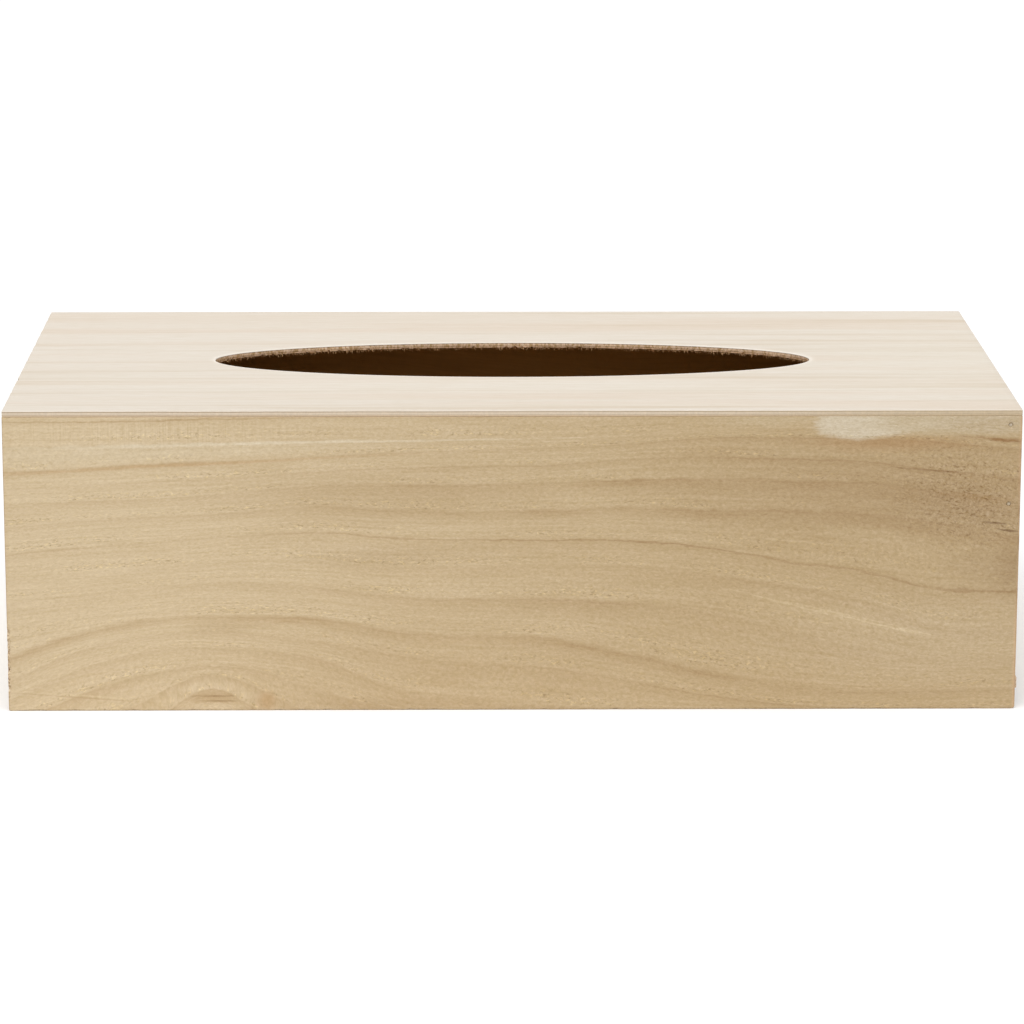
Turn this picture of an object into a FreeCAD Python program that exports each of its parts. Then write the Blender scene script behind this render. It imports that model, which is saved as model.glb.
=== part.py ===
import FreeCAD
import Part
import Sketcher

import os

# A long, low tissue box cover in bare wood. Four thin boards are butted, glued and pinned at the corners, with a
# sheet of slotted plywood glued over them. The plywood base slides in grooves and draws out at the right-hand end,
# under the shorter end board, so that a carton of tissues goes in from below.
# Millimetres. The origin is at the middle of the foot, the front faces -Y and +Z is up.

DRIVING_SIZES = {
    # Outside of the box
    "box_length": 260.0,
    "box_depth": 140.0,
    "box_height": 79.0,
    # Stock
    "board_thickness": 6.0,
    "end_thickness": 6.0,
    "top_thickness": 1.6,
    "base_thickness": 3.0,
    # Sanded arrises
    "edge_round": 0.5,
    "top_ease": 0.25,
    # Oval slot in the top, cut a little right of and in front of the middle
    "slot_length": 160.2,
    "slot_width": 48.7,
    "slot_right": 0.9,
    "slot_forward": 1.5,
    # Sliding base: its underside above the table, the depth of its grooves and the play on every side of it
    "base_lift": 4.7,
    "groove_depth": 3.0,
    "slide_gap": 0.2,
    "base_proud": 0.8,
    "base_bevel": 0.6,
    # Corner pins, driven through the front and back boards into the end boards
    "pin_count": 4,
    "pin_diameter": 1.0,
    "pin_tip_diameter": 0.3,
    "pin_tip_length": 1.2,
    "pin_bite": 8.0,
    "pin_sunk": 0.2,
    "pin_gap": 0.03,
    "pin_drop": 2.3,
    "pin_rise": 5.0,
}

# Sizes that follow from the driving ones
BOARD_HEIGHT = "(Sizes.box_height - Sizes.top_thickness)"
GROOVE_FLOOR = "(Sizes.base_lift - Sizes.slide_gap)"
GROOVE_HEIGHT = "(Sizes.base_thickness + 2 * Sizes.slide_gap)"
GROOVE_ROOF = f"({GROOVE_FLOOR} + {GROOVE_HEIGHT})"
END_LENGTH = "(Sizes.box_depth - 2 * Sizes.board_thickness)"
SHORT_END_HEIGHT = f"({BOARD_HEIGHT} - {GROOVE_ROOF})"
BASE_START = "(Sizes.end_thickness - Sizes.groove_depth + Sizes.slide_gap)"
BASE_LENGTH = f"(Sizes.box_length - {BASE_START} + Sizes.base_proud)"
BASE_WIDTH = f"({END_LENGTH} + 2 * (Sizes.groove_depth - Sizes.slide_gap))"
HOLE_DIAMETER = "(Sizes.pin_diameter + 2 * Sizes.pin_gap)"
PIN_INSET = "(Sizes.end_thickness / 2)"
PIN_LENGTH = "(Sizes.board_thickness - Sizes.pin_sunk + Sizes.pin_bite)"
PIN_STRAIGHT = f"({PIN_LENGTH} - Sizes.pin_tip_length)"
TOP_PIN_HEIGHT = f"({BOARD_HEIGHT} - Sizes.pin_drop)"
PIN_ROW = f"({TOP_PIN_HEIGHT} - {GROOVE_ROOF} - Sizes.pin_rise)"

Z_AXIS = FreeCAD.Vector(0, 0, 1)
HALF_TURN = 180
# A vertex of a sketch's line, or the centre of its circle or ellipse
START, END, CENTRE = 1, 2, 3
# The sketch's own origin, in its numbering of geometry
ORIGIN = -1
TOLERANCE = 1e-6


def make_sheet(doc):
    """Write the driving sizes to a sheet, one named cell each."""
    sheet = doc.addObject("Spreadsheet::Sheet", "Sizes")
    for row, (name, number) in enumerate(DRIVING_SIZES.items(), start=1):
        sheet.set(f"A{row}", name)
        sheet.set(f"B{row}", str(number))
        sheet.setAlias(f"B{row}", name)
    doc.recompute()
    return sheet


def new_body(doc, label, place, half_turn=False):
    """Add a body at a place given by three expressions, turned about the upright axis to face the other way."""
    body = doc.addObject("PartDesign::Body", label)
    body.Label = label
    turn = FreeCAD.Rotation(Z_AXIS, HALF_TURN if half_turn else 0)
    body.Placement = FreeCAD.Placement(FreeCAD.Vector(), turn)
    for axis, expression in zip("xyz", place):
        body.setExpression(f"Placement.Base.{axis}", expression)
    return body


def new_sketch(body, name, plane_role):
    """Add a sketch on one of the body's own origin planes."""
    sketch = body.newObject("Sketcher::SketchObject", name)
    plane = next(feature for feature in body.Origin.OriginFeatures if feature.Role == plane_role)
    sketch.AttachmentSupport = [(plane, "")]
    sketch.MapMode = "FlatFace"
    return sketch


def number_of(sketch, expression):
    """Work an expression of the sheet's sizes out, for a first guess that the sketch then solves."""
    return float(sketch.Document.Sizes.evalExpression(expression))


def bind(sketch, name, expression, kind, *where):
    """Add a dimension to the sketch and tie it to an expression of the sheet's sizes."""
    index = sketch.addConstraint(Sketcher.Constraint(kind, *where, number_of(sketch, expression)))
    sketch.renameConstraint(index, name)
    sketch.setExpression(f"Constraints.{name}", expression)


def draw_outline(sketch, corners):
    """Draw a closed outline through corners given as pairs of expressions, and return the numbers of its sides.

    Level and upright sides are held so.
    """
    points = [
        FreeCAD.Vector(number_of(sketch, across), number_of(sketch, up), 0) for across, up in corners
    ]
    for start, end in zip(points, points[1:] + points[:1]):
        line = sketch.addGeometry(Part.LineSegment(start, end))
        if abs(start.y - end.y) < TOLERANCE:
            sketch.addConstraint(Sketcher.Constraint("Horizontal", line))
        elif abs(start.x - end.x) < TOLERANCE:
            sketch.addConstraint(Sketcher.Constraint("Vertical", line))
    sides = range(len(points))
    for line in sides:
        following = (line + 1) % len(points)
        sketch.addConstraint(Sketcher.Constraint("Coincident", line, END, following, START))
    return sides


def hold_at_origin(sketch, geometry, vertex):
    """Hold one vertex of the sketch at its origin."""
    sketch.addConstraint(Sketcher.Constraint("Coincident", geometry, vertex, ORIGIN, START))


def draw_hole(sketch, name, across, up):
    """Draw a pin hole with its centre at two expressions from the sketch's origin."""
    centre = FreeCAD.Vector(number_of(sketch, across), number_of(sketch, up), 0)
    circle = sketch.addGeometry(Part.Circle(centre, Z_AXIS, number_of(sketch, HOLE_DIAMETER) / 2))
    bind(sketch, f"{name}_diameter", HOLE_DIAMETER, "Diameter", circle)
    bind(sketch, f"{name}_across", across, "DistanceX", ORIGIN, START, circle, CENTRE)
    bind(sketch, f"{name}_up", up, "DistanceY", ORIGIN, START, circle, CENTRE)


def pad(body, name, sketch, length, reverse=False):
    """Give a sketch a thickness."""
    feature = body.newObject("PartDesign::Pad", name)
    feature.Profile = sketch
    feature.setExpression("Length", length)
    feature.Reversed = reverse
    body.Document.recompute()
    return feature


def pocket(body, name, sketch, depth, reverse=False):
    """Cut a sketch into the body to a depth, and make sure that it took wood away."""
    before = body.Shape.Volume
    feature = body.newObject("PartDesign::Pocket", name)
    feature.Profile = sketch
    feature.setExpression("Length", depth)
    feature.Reversed = reverse
    body.Document.recompute()
    if body.Shape.Volume > before - TOLERANCE:
        raise RuntimeError(f"{body.Label}: {name} cuts nothing")
    return feature


def pin_row(body, originals, sketch):
    """Repeat features down the corner joint, as many times as there are pins."""
    row = body.newObject("PartDesign::LinearPattern", "pin_row")
    row.Originals = originals
    row.Direction = (sketch, ["V_Axis"])
    row.Reversed = True
    row.setExpression("Length", PIN_ROW)
    row.setExpression("Occurrences", "Sizes.pin_count")
    body.Tip = row
    body.Document.recompute()


def edges_of(feature, wanted):
    """Name the edges of a feature whose bounds pass a test."""
    return [
        f"Edge{number}" for number, edge in enumerate(feature.Shape.Edges, start=1) if wanted(edge.BoundBox)
    ]


def round_edges(body, name, feature, wanted, radius):
    """Sand the edges of a feature that pass a test to a radius."""
    rounding = body.newObject("PartDesign::Fillet", name)
    rounding.Base = (feature, edges_of(feature, wanted))
    rounding.setExpression("Radius", radius)
    body.Document.recompute()
    return rounding


def bevel_edges(body, name, feature, wanted, size):
    """Plane the edges of a feature that pass a test, and those that run on from them, to a bevel."""
    bevel = body.newObject("PartDesign::Chamfer", name)
    bevel.Base = (feature, edges_of(feature, wanted))
    bevel.setExpression("Size", size)
    body.Document.recompute()


def grooved_section(thickness):
    """Give the corners of an upright board's section, with the base's groove on its inner side."""
    groove_bottom = f"({thickness} - Sizes.groove_depth)"
    return [
        ("0", "0"),
        (thickness, "0"),
        (thickness, GROOVE_FLOOR),
        (groove_bottom, GROOVE_FLOOR),
        (groove_bottom, GROOVE_ROOF),
        (thickness, GROOVE_ROOF),
        (thickness, BOARD_HEIGHT),
        ("0", BOARD_HEIGHT),
    ]


def draw_grooved_section(sketch, thickness):
    """Draw an upright board's section with its groove, outer foot at the origin."""
    foot, below, floor, bottom, _, above, head, _ = draw_outline(sketch, grooved_section(thickness))
    hold_at_origin(sketch, foot, START)
    bind(sketch, "thickness", thickness, "DistanceX", foot, START, foot, END)
    bind(sketch, "groove_floor", GROOVE_FLOOR, "DistanceY", below, START, below, END)
    bind(sketch, "groove_depth", "Sizes.groove_depth", "DistanceX", floor, END, floor, START)
    bind(sketch, "groove_height", GROOVE_HEIGHT, "DistanceY", bottom, START, bottom, END)
    bind(sketch, "board_height", BOARD_HEIGHT, "DistanceY", foot, START, head, START)
    sketch.addConstraint(Sketcher.Constraint("Vertical", below, START, above, START))


def make_long_board(doc, label, place, half_turn):
    """Make the front or back board: a grooved length with pin holes through both ends."""
    body = new_body(doc, label, place, half_turn)
    section = new_sketch(body, "section", "YZ_Plane")
    draw_grooved_section(section, "Sizes.board_thickness")
    length = pad(body, "length", section, "Sizes.box_length")
    round_edges(
        body,
        "eased_arrises",
        length,
        lambda box: abs(box.YMax) < TOLERANCE and box.ZMin < TOLERANCE,
        "Sizes.edge_round",
    )
    holes = new_sketch(body, "pin_holes", "XZ_Plane")
    draw_hole(holes, "near", PIN_INSET, TOP_PIN_HEIGHT)
    draw_hole(holes, "far", f"(Sizes.box_length - {PIN_INSET})", TOP_PIN_HEIGHT)
    top_pair = pocket(body, "top_pin_holes", holes, "Sizes.board_thickness")
    pin_row(body, [top_pair], holes)
    return body


def make_end_board(doc, label, place, half_turn, grooved):
    """Make an end board, with blind pin holes in both ends, grooved or cut short above the base."""
    body = new_body(doc, label, place, half_turn)
    section = new_sketch(body, "section", "XZ_Plane")
    if grooved:
        draw_grooved_section(section, "Sizes.end_thickness")
        top_pin = TOP_PIN_HEIGHT
    else:
        foot, inner, _, _ = draw_outline(
            section,
            [
                ("0", "0"),
                ("Sizes.end_thickness", "0"),
                ("Sizes.end_thickness", SHORT_END_HEIGHT),
                ("0", SHORT_END_HEIGHT),
            ],
        )
        hold_at_origin(section, foot, START)
        bind(section, "thickness", "Sizes.end_thickness", "DistanceX", foot, START, foot, END)
        bind(section, "board_height", SHORT_END_HEIGHT, "DistanceY", inner, START, inner, END)
        top_pin = f"({TOP_PIN_HEIGHT} - {GROOVE_ROOF})"
    length = pad(body, "length", section, END_LENGTH, reverse=True)
    round_edges(
        body,
        "eased_foot",
        length,
        lambda box: abs(box.XMax) < TOLERANCE and abs(box.ZMax) < TOLERANCE,
        "Sizes.edge_round",
    )
    depth = "(Sizes.pin_bite + Sizes.pin_gap)"
    near = new_sketch(body, "near_pin_hole", "XZ_Plane")
    draw_hole(near, "near", PIN_INSET, top_pin)
    near_hole = pocket(body, "near_top_hole", near, depth)
    far = new_sketch(body, "far_pin_hole", "XZ_Plane")
    far.setExpression("AttachmentOffset.Base.z", f"-{END_LENGTH}")
    draw_hole(far, "far", PIN_INSET, top_pin)
    far_hole = pocket(body, "far_top_hole", far, depth, reverse=True)
    pin_row(body, [near_hole, far_hole], near)
    return body


def make_top_panel(doc):
    """Make the thin top sheet with its oval slot, glued over the boards and flush with them."""
    body = new_body(doc, "top_panel", ("0", "0", BOARD_HEIGHT))
    sheet = new_sketch(body, "sheet_with_slot", "XY_Plane")
    half_length = "(Sizes.box_length / 2)"
    half_depth = "(Sizes.box_depth / 2)"
    front, right, back, _ = draw_outline(
        sheet,
        [
            (f"-{half_length}", f"-{half_depth}"),
            (half_length, f"-{half_depth}"),
            (half_length, half_depth),
            (f"-{half_length}", half_depth),
        ],
    )
    sheet.addConstraint(Sketcher.Constraint("Symmetric", front, START, back, START, ORIGIN, START))
    bind(sheet, "length", "Sizes.box_length", "DistanceX", front, START, front, END)
    bind(sheet, "depth", "Sizes.box_depth", "DistanceY", right, START, right, END)

    centre = FreeCAD.Vector(number_of(sheet, "Sizes.slot_right"), -number_of(sheet, "Sizes.slot_forward"), 0)
    long_end = centre + FreeCAD.Vector(number_of(sheet, "Sizes.slot_length / 2"), 0, 0)
    short_end = centre + FreeCAD.Vector(0, number_of(sheet, "Sizes.slot_width / 2"), 0)
    slot = sheet.addGeometry(Part.Ellipse(long_end, short_end, centre))
    sheet.exposeInternalGeometry(slot)
    long_axis, short_axis = slot + 1, slot + 2
    sheet.addConstraint(Sketcher.Constraint("Horizontal", long_axis))
    bind(sheet, "slot_length", "Sizes.slot_length", "Distance", long_axis)
    bind(sheet, "slot_width", "Sizes.slot_width", "Distance", short_axis)
    bind(sheet, "slot_right", "Sizes.slot_right", "DistanceX", ORIGIN, START, slot, CENTRE)
    bind(sheet, "slot_forward", "Sizes.slot_forward", "DistanceY", slot, CENTRE, ORIGIN, START)

    panel = pad(body, "panel", sheet, "Sizes.top_thickness")
    outside = panel.Shape.BoundBox
    corners = round_edges(
        body,
        "eased_corners",
        panel,
        lambda box: box.DiagonalLength - box.ZLength < TOLERANCE and abs(box.XMax) > outside.XMax - TOLERANCE,
        "Sizes.edge_round",
    )
    bevel_edges(
        body,
        "eased_rim",
        corners,
        lambda box: box.ZMin > outside.ZMax - TOLERANCE and box.YMax < outside.YMin + TOLERANCE,
        "Sizes.top_ease",
    )
    return body


def make_base_panel(doc):
    """Make the sliding base, with both ends of its underside bevelled."""
    body = new_body(
        doc,
        "base_panel",
        (f"{BASE_START} - Sizes.box_length / 2", f"-{BASE_WIDTH} / 2", "Sizes.base_lift"),
    )
    sheet = new_sketch(body, "sheet", "XY_Plane")
    front, right, _, _ = draw_outline(
        sheet,
        [("0", "0"), (BASE_LENGTH, "0"), (BASE_LENGTH, BASE_WIDTH), ("0", BASE_WIDTH)],
    )
    hold_at_origin(sheet, front, START)
    bind(sheet, "length", BASE_LENGTH, "DistanceX", front, START, front, END)
    bind(sheet, "width", BASE_WIDTH, "DistanceY", right, START, right, END)
    panel = pad(body, "panel", sheet, "Sizes.base_thickness")
    bevel_edges(
        body,
        "bevelled_ends",
        panel,
        lambda box: abs(box.ZMax) < TOLERANCE and box.XLength < TOLERANCE,
        "Sizes.base_bevel",
    )
    return body


def make_pins(doc, label, place, half_turn):
    """Make one corner's row of headless steel pins, each turned from one profile with a blunt point."""
    body = new_body(doc, label, place, half_turn)
    profile = new_sketch(body, "half_pin", "YZ_Plane")
    radius = "(Sizes.pin_diameter / 2)"
    tip_radius = "(Sizes.pin_tip_diameter / 2)"
    axis, tip, _, side, _ = draw_outline(
        profile,
        [("0", "0"), (PIN_LENGTH, "0"), (PIN_LENGTH, tip_radius), (PIN_STRAIGHT, radius), ("0", radius)],
    )
    hold_at_origin(profile, axis, START)
    bind(profile, "pin_length", PIN_LENGTH, "DistanceX", axis, START, axis, END)
    bind(profile, "tip_radius", tip_radius, "DistanceY", tip, START, tip, END)
    bind(profile, "straight_length", PIN_STRAIGHT, "DistanceX", side, END, side, START)
    bind(profile, "pin_radius", radius, "DistanceY", axis, START, side, START)
    turned = body.newObject("PartDesign::Revolution", "turned_pin")
    turned.Profile = profile
    turned.ReferenceAxis = (profile, ["H_Axis"])
    doc.recompute()
    pin_row(body, [turned], profile)
    return body


def make_box(doc):
    """Make every piece of the box in its place."""
    left, right = "-Sizes.box_length / 2", "Sizes.box_length / 2"
    front, back = "-Sizes.box_depth / 2", "Sizes.box_depth / 2"
    front_end, back_end = f"-{END_LENGTH} / 2", f"{END_LENGTH} / 2"
    pieces = [
        make_long_board(doc, "front_board", (left, front, "0"), half_turn=False),
        make_long_board(doc, "back_board", (right, back, "0"), half_turn=True),
        make_end_board(doc, "left_end_board", (left, front_end, "0"), half_turn=False, grooved=True),
        make_end_board(doc, "right_end_board", (right, back_end, GROOVE_ROOF), half_turn=True, grooved=False),
        make_top_panel(doc),
        make_base_panel(doc),
    ]
    for side, across in (("left", f"{left} + {PIN_INSET}"), ("right", f"{right} - {PIN_INSET}")):
        for face, into, half_turn in (
            ("front", f"{front} + Sizes.pin_sunk", False),
            ("back", f"{back} - Sizes.pin_sunk", True),
        ):
            pieces.append(make_pins(doc, f"{face}_{side}_pins", (across, into, TOP_PIN_HEIGHT), half_turn))
    return pieces


def check(doc, pieces):
    """Stop if anything in the document failed, or if a piece is empty or broken."""
    for item in doc.Objects:
        if {"Invalid", "Error"} & set(item.State):
            raise RuntimeError(f"{item.Label}: {item.State}")
    for piece in pieces:
        shape = piece.Shape
        if shape.isNull() or not shape.isValid() or not shape.Solids:
            raise RuntimeError(f"{piece.Label}: no sound solid")


def write(pieces):
    """Write each piece to a file that bears its name."""
    os.makedirs("parts", exist_ok=True)
    for piece in pieces:
        piece.Shape.exportStep(f"parts/{piece.Label}.step")
        bounds = piece.Shape.BoundBox
        print(
            f"{piece.Label}: {len(piece.Shape.Solids)} solids, {piece.Shape.Volume:.1f} mm3, "
            f"x {bounds.XMin:.2f} to {bounds.XMax:.2f}, y {bounds.YMin:.2f} to {bounds.YMax:.2f}, "
            f"z {bounds.ZMin:.2f} to {bounds.ZMax:.2f}"
        )


document = FreeCAD.newDocument("TissueBoxCover")
make_sheet(document)
box_pieces = make_box(document)
document.recompute()
check(document, box_pieces)
write(box_pieces)
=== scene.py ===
"""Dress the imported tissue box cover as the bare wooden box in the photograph.

The boards, the slotted top sheet and the sliding base are meshed again over their CAD nodes, with eased,
nicked and torn edges. The pins and the loose wood fibres are repeated by geometry nodes. Every finish is a
node material. Lengths are millimetres, as in the part's source, and become metres where a mesh, a lamp or a
camera is made.
"""

import logging
import math
from dataclasses import dataclass
from enum import Enum
from typing import ClassVar

import bpy
import numpy as np
from mathutils import Matrix, Vector, noise


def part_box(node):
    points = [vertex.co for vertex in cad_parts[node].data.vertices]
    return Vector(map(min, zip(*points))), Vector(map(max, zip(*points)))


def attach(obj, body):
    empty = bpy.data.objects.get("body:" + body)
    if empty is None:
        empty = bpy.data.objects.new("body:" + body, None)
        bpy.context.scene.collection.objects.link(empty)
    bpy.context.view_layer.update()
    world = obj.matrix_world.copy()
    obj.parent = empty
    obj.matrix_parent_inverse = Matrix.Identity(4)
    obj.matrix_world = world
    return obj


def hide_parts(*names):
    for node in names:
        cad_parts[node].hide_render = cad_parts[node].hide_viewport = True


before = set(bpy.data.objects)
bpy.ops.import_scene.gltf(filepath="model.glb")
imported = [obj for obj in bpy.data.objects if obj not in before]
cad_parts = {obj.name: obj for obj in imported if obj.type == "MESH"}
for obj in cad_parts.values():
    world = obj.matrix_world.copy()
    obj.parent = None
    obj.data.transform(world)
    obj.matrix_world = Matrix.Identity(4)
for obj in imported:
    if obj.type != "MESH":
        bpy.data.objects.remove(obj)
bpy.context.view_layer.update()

LOG = logging.getLogger("tissue_box_cover")
MM = 0.001
TINY = 1e-9
PHOTO_PIXELS = 1024
SCREEN_LEVELS = 255

Triple = tuple[float, float, float]
Colour = tuple[float, float, float, float]
Stops = tuple[tuple[float, Colour], ...]
Lines = tuple[np.ndarray, np.ndarray, np.ndarray]
Socket = bpy.types.NodeSocket
Feed = float | tuple[float, ...] | Socket | bpy.types.Material


def screen(red: int, green: int, blue: int) -> Colour:
    """Turn an 8-bit screen colour into the linear colour that Blender's sockets take.

    Args:
        red: Red level from 0 to 255.
        green: Green level from 0 to 255.
        blue: Blue level from 0 to 255.

    Returns:
        The linear colour, opaque.
    """
    def linear(level: int) -> float:
        """Undo the screen's curve for one channel."""
        share = level / SCREEN_LEVELS
        return share / 12.92 if share <= 0.04045 else ((share + 0.055) / 1.055) ** 2.4

    return (linear(red), linear(green), linear(blue), 1.0)


def smoothstep(low: float, high: float, value: np.ndarray) -> np.ndarray:
    """Ease values from 0 at low to 1 at high."""
    share = np.clip((value - low) / (high - low), 0.0, 1.0)
    return share * share * (3.0 - 2.0 * share)


def wander(points: np.ndarray, wavelength: float, seed: float) -> np.ndarray:
    """Give smooth noise of about -1 to 1 at each point, the same on every run."""
    shift = Vector((seed, 2.0 * seed, -seed))
    return np.array([noise.noise(Vector(point) / wavelength + shift) for point in points])


def cad_box(node: str) -> tuple[np.ndarray, np.ndarray]:
    """Give the low and the high corner of a CAD node, in millimetres."""
    low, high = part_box(node)
    return np.array(low) / MM, np.array(high) / MM


def set_out(name: str, data: bpy.types.ID) -> bpy.types.Object:
    """Make an object of a mesh, a lamp or a camera.

    Args:
        name: The object's name.
        data: What it shows.

    Returns:
        The new object, linked to the scene.
    """
    made = bpy.data.objects.new(name, data)
    bpy.context.scene.collection.objects.link(made)
    return made


def make_piece(name: str, points: np.ndarray, faces: np.ndarray, smooth: bool = True) -> bpy.types.Object:
    """Make a mesh object at the origin.

    Args:
        name: The piece's name.
        points: Vertices in millimetres, one a row.
        faces: Vertex numbers of each face, one face a row.
        smooth: Whether the faces are shaded smooth.

    Returns:
        The new object, linked to the scene.
    """
    mesh = bpy.data.meshes.new(name)
    mesh.from_pydata((points * MM).tolist(), [], faces.tolist())
    mesh.polygons.foreach_set("use_smooth", np.full(len(mesh.polygons), smooth))
    mesh.validate()
    mesh.update()
    return set_out(name, mesh)


def note(piece: bpy.types.Object, name: str, values: np.ndarray) -> None:
    """Keep one value or vector for each vertex, for the finish to read.

    Args:
        piece: The mesh object.
        name: The attribute's name.
        values: One number or one row of three a vertex.
    """
    vector = values.ndim == 2
    attribute = piece.data.attributes.new(name, "FLOAT_VECTOR" if vector else "FLOAT", "POINT")
    attribute.data.foreach_set("vector" if vector else "value", values.astype(np.float32).ravel())


def graded(low: float, high: float, pitch: float, fine: tuple[float, ...],
           extra: tuple[float, ...] = ()) -> np.ndarray:
    """Lay grid lines from low to high, close together at both ends.

    Args:
        low: The first line.
        high: The last line.
        pitch: Distance between lines in the middle.
        fine: Offsets of the close lines from each end.
        extra: More lines to keep.

    Returns:
        The lines in order.
    """
    inner_low = low + fine[-1]
    inner_high = high - fine[-1]
    middle = np.linspace(inner_low, inner_high, max(2, round((inner_high - inner_low) / pitch) + 1))
    ends = [low + step for step in fine] + [high - step for step in fine]
    lines = np.concatenate([middle, ends, [low, high], [line for line in extra if low < line < high]])
    return np.unique(np.round(lines, 4))


def lattice_shell(lines: Lines, solid: np.ndarray) -> tuple[np.ndarray, np.ndarray]:
    """Skin the solid cells of a grid with outward quads.

    Args:
        lines: Grid lines along the three axes.
        solid: Whether each cell is wood.

    Returns:
        The vertices and the quads.
    """
    counts = [len(axis_lines) for axis_lines in lines]
    numbers = np.arange(np.prod(counts)).reshape(counts)
    padded = np.pad(solid, 1)
    quads = []
    for axis in range(3):
        other = [k for k in range(3) if k != axis]
        before = np.moveaxis(padded, axis, 0)[:-1, 1:-1, 1:-1]
        after = np.moveaxis(padded, axis, 0)[1:, 1:-1, 1:-1]
        grid = np.moveaxis(numbers, axis, 0)
        ring = np.stack([grid[:, :-1, :-1], grid[:, 1:, :-1], grid[:, 1:, 1:], grid[:, :-1, 1:]], axis=-1)
        turned = ring[..., ::-1]
        leaves, enters = (ring, turned) if other != [0, 2] else (turned, ring)
        quads += [leaves[before & ~after], enters[~before & after]]
    faces = np.concatenate(quads)
    used, faces = np.unique(faces, return_inverse=True)
    points = np.stack(np.meshgrid(*lines, indexing="ij"), axis=-1).reshape(-1, 3)[used]
    return points, faces.reshape(-1, 4)


def rounded(points: np.ndarray, low: np.ndarray, high: np.ndarray, low_ease: Triple, high_ease: Triple,
            worn: np.ndarray) -> np.ndarray:
    """Round the arrises of a box.

    Args:
        points: Points of the box, one a row.
        low: Its low corner.
        high: Its high corner.
        low_ease: Radius of the arrises at the low end of each axis.
        high_ease: Radius of those at the high end.
        worn: What the radius is multiplied by at each point.

    Returns:
        The moved points.
    """
    radius = np.where(points < (low + high) / 2.0, low_ease, high_ease) * worn[:, None]
    core = np.clip(points, low + radius, high - radius)
    reach = (points - core) / radius
    length = np.linalg.norm(reach, axis=1)
    longest = np.abs(reach).max(axis=1)
    kept = np.divide(longest, length, out=np.ones_like(length), where=length > TINY)
    return core + reach * radius * kept[:, None]


@dataclass(frozen=True)
class Grain:
    """One kind of noise in a finish, stretched along the wood.

    Attributes:
        factors: Features a millimetre along each part.
        shift: Tells one kind from another.
        detail: How many finer layers are added.
        roughness: How strong the finer layers are.
        twist: How far it is pulled about.
    """

    factors: Triple
    shift: float = 0.0
    detail: float = 2.0
    roughness: float = 0.5
    twist: float = 0.0


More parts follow.
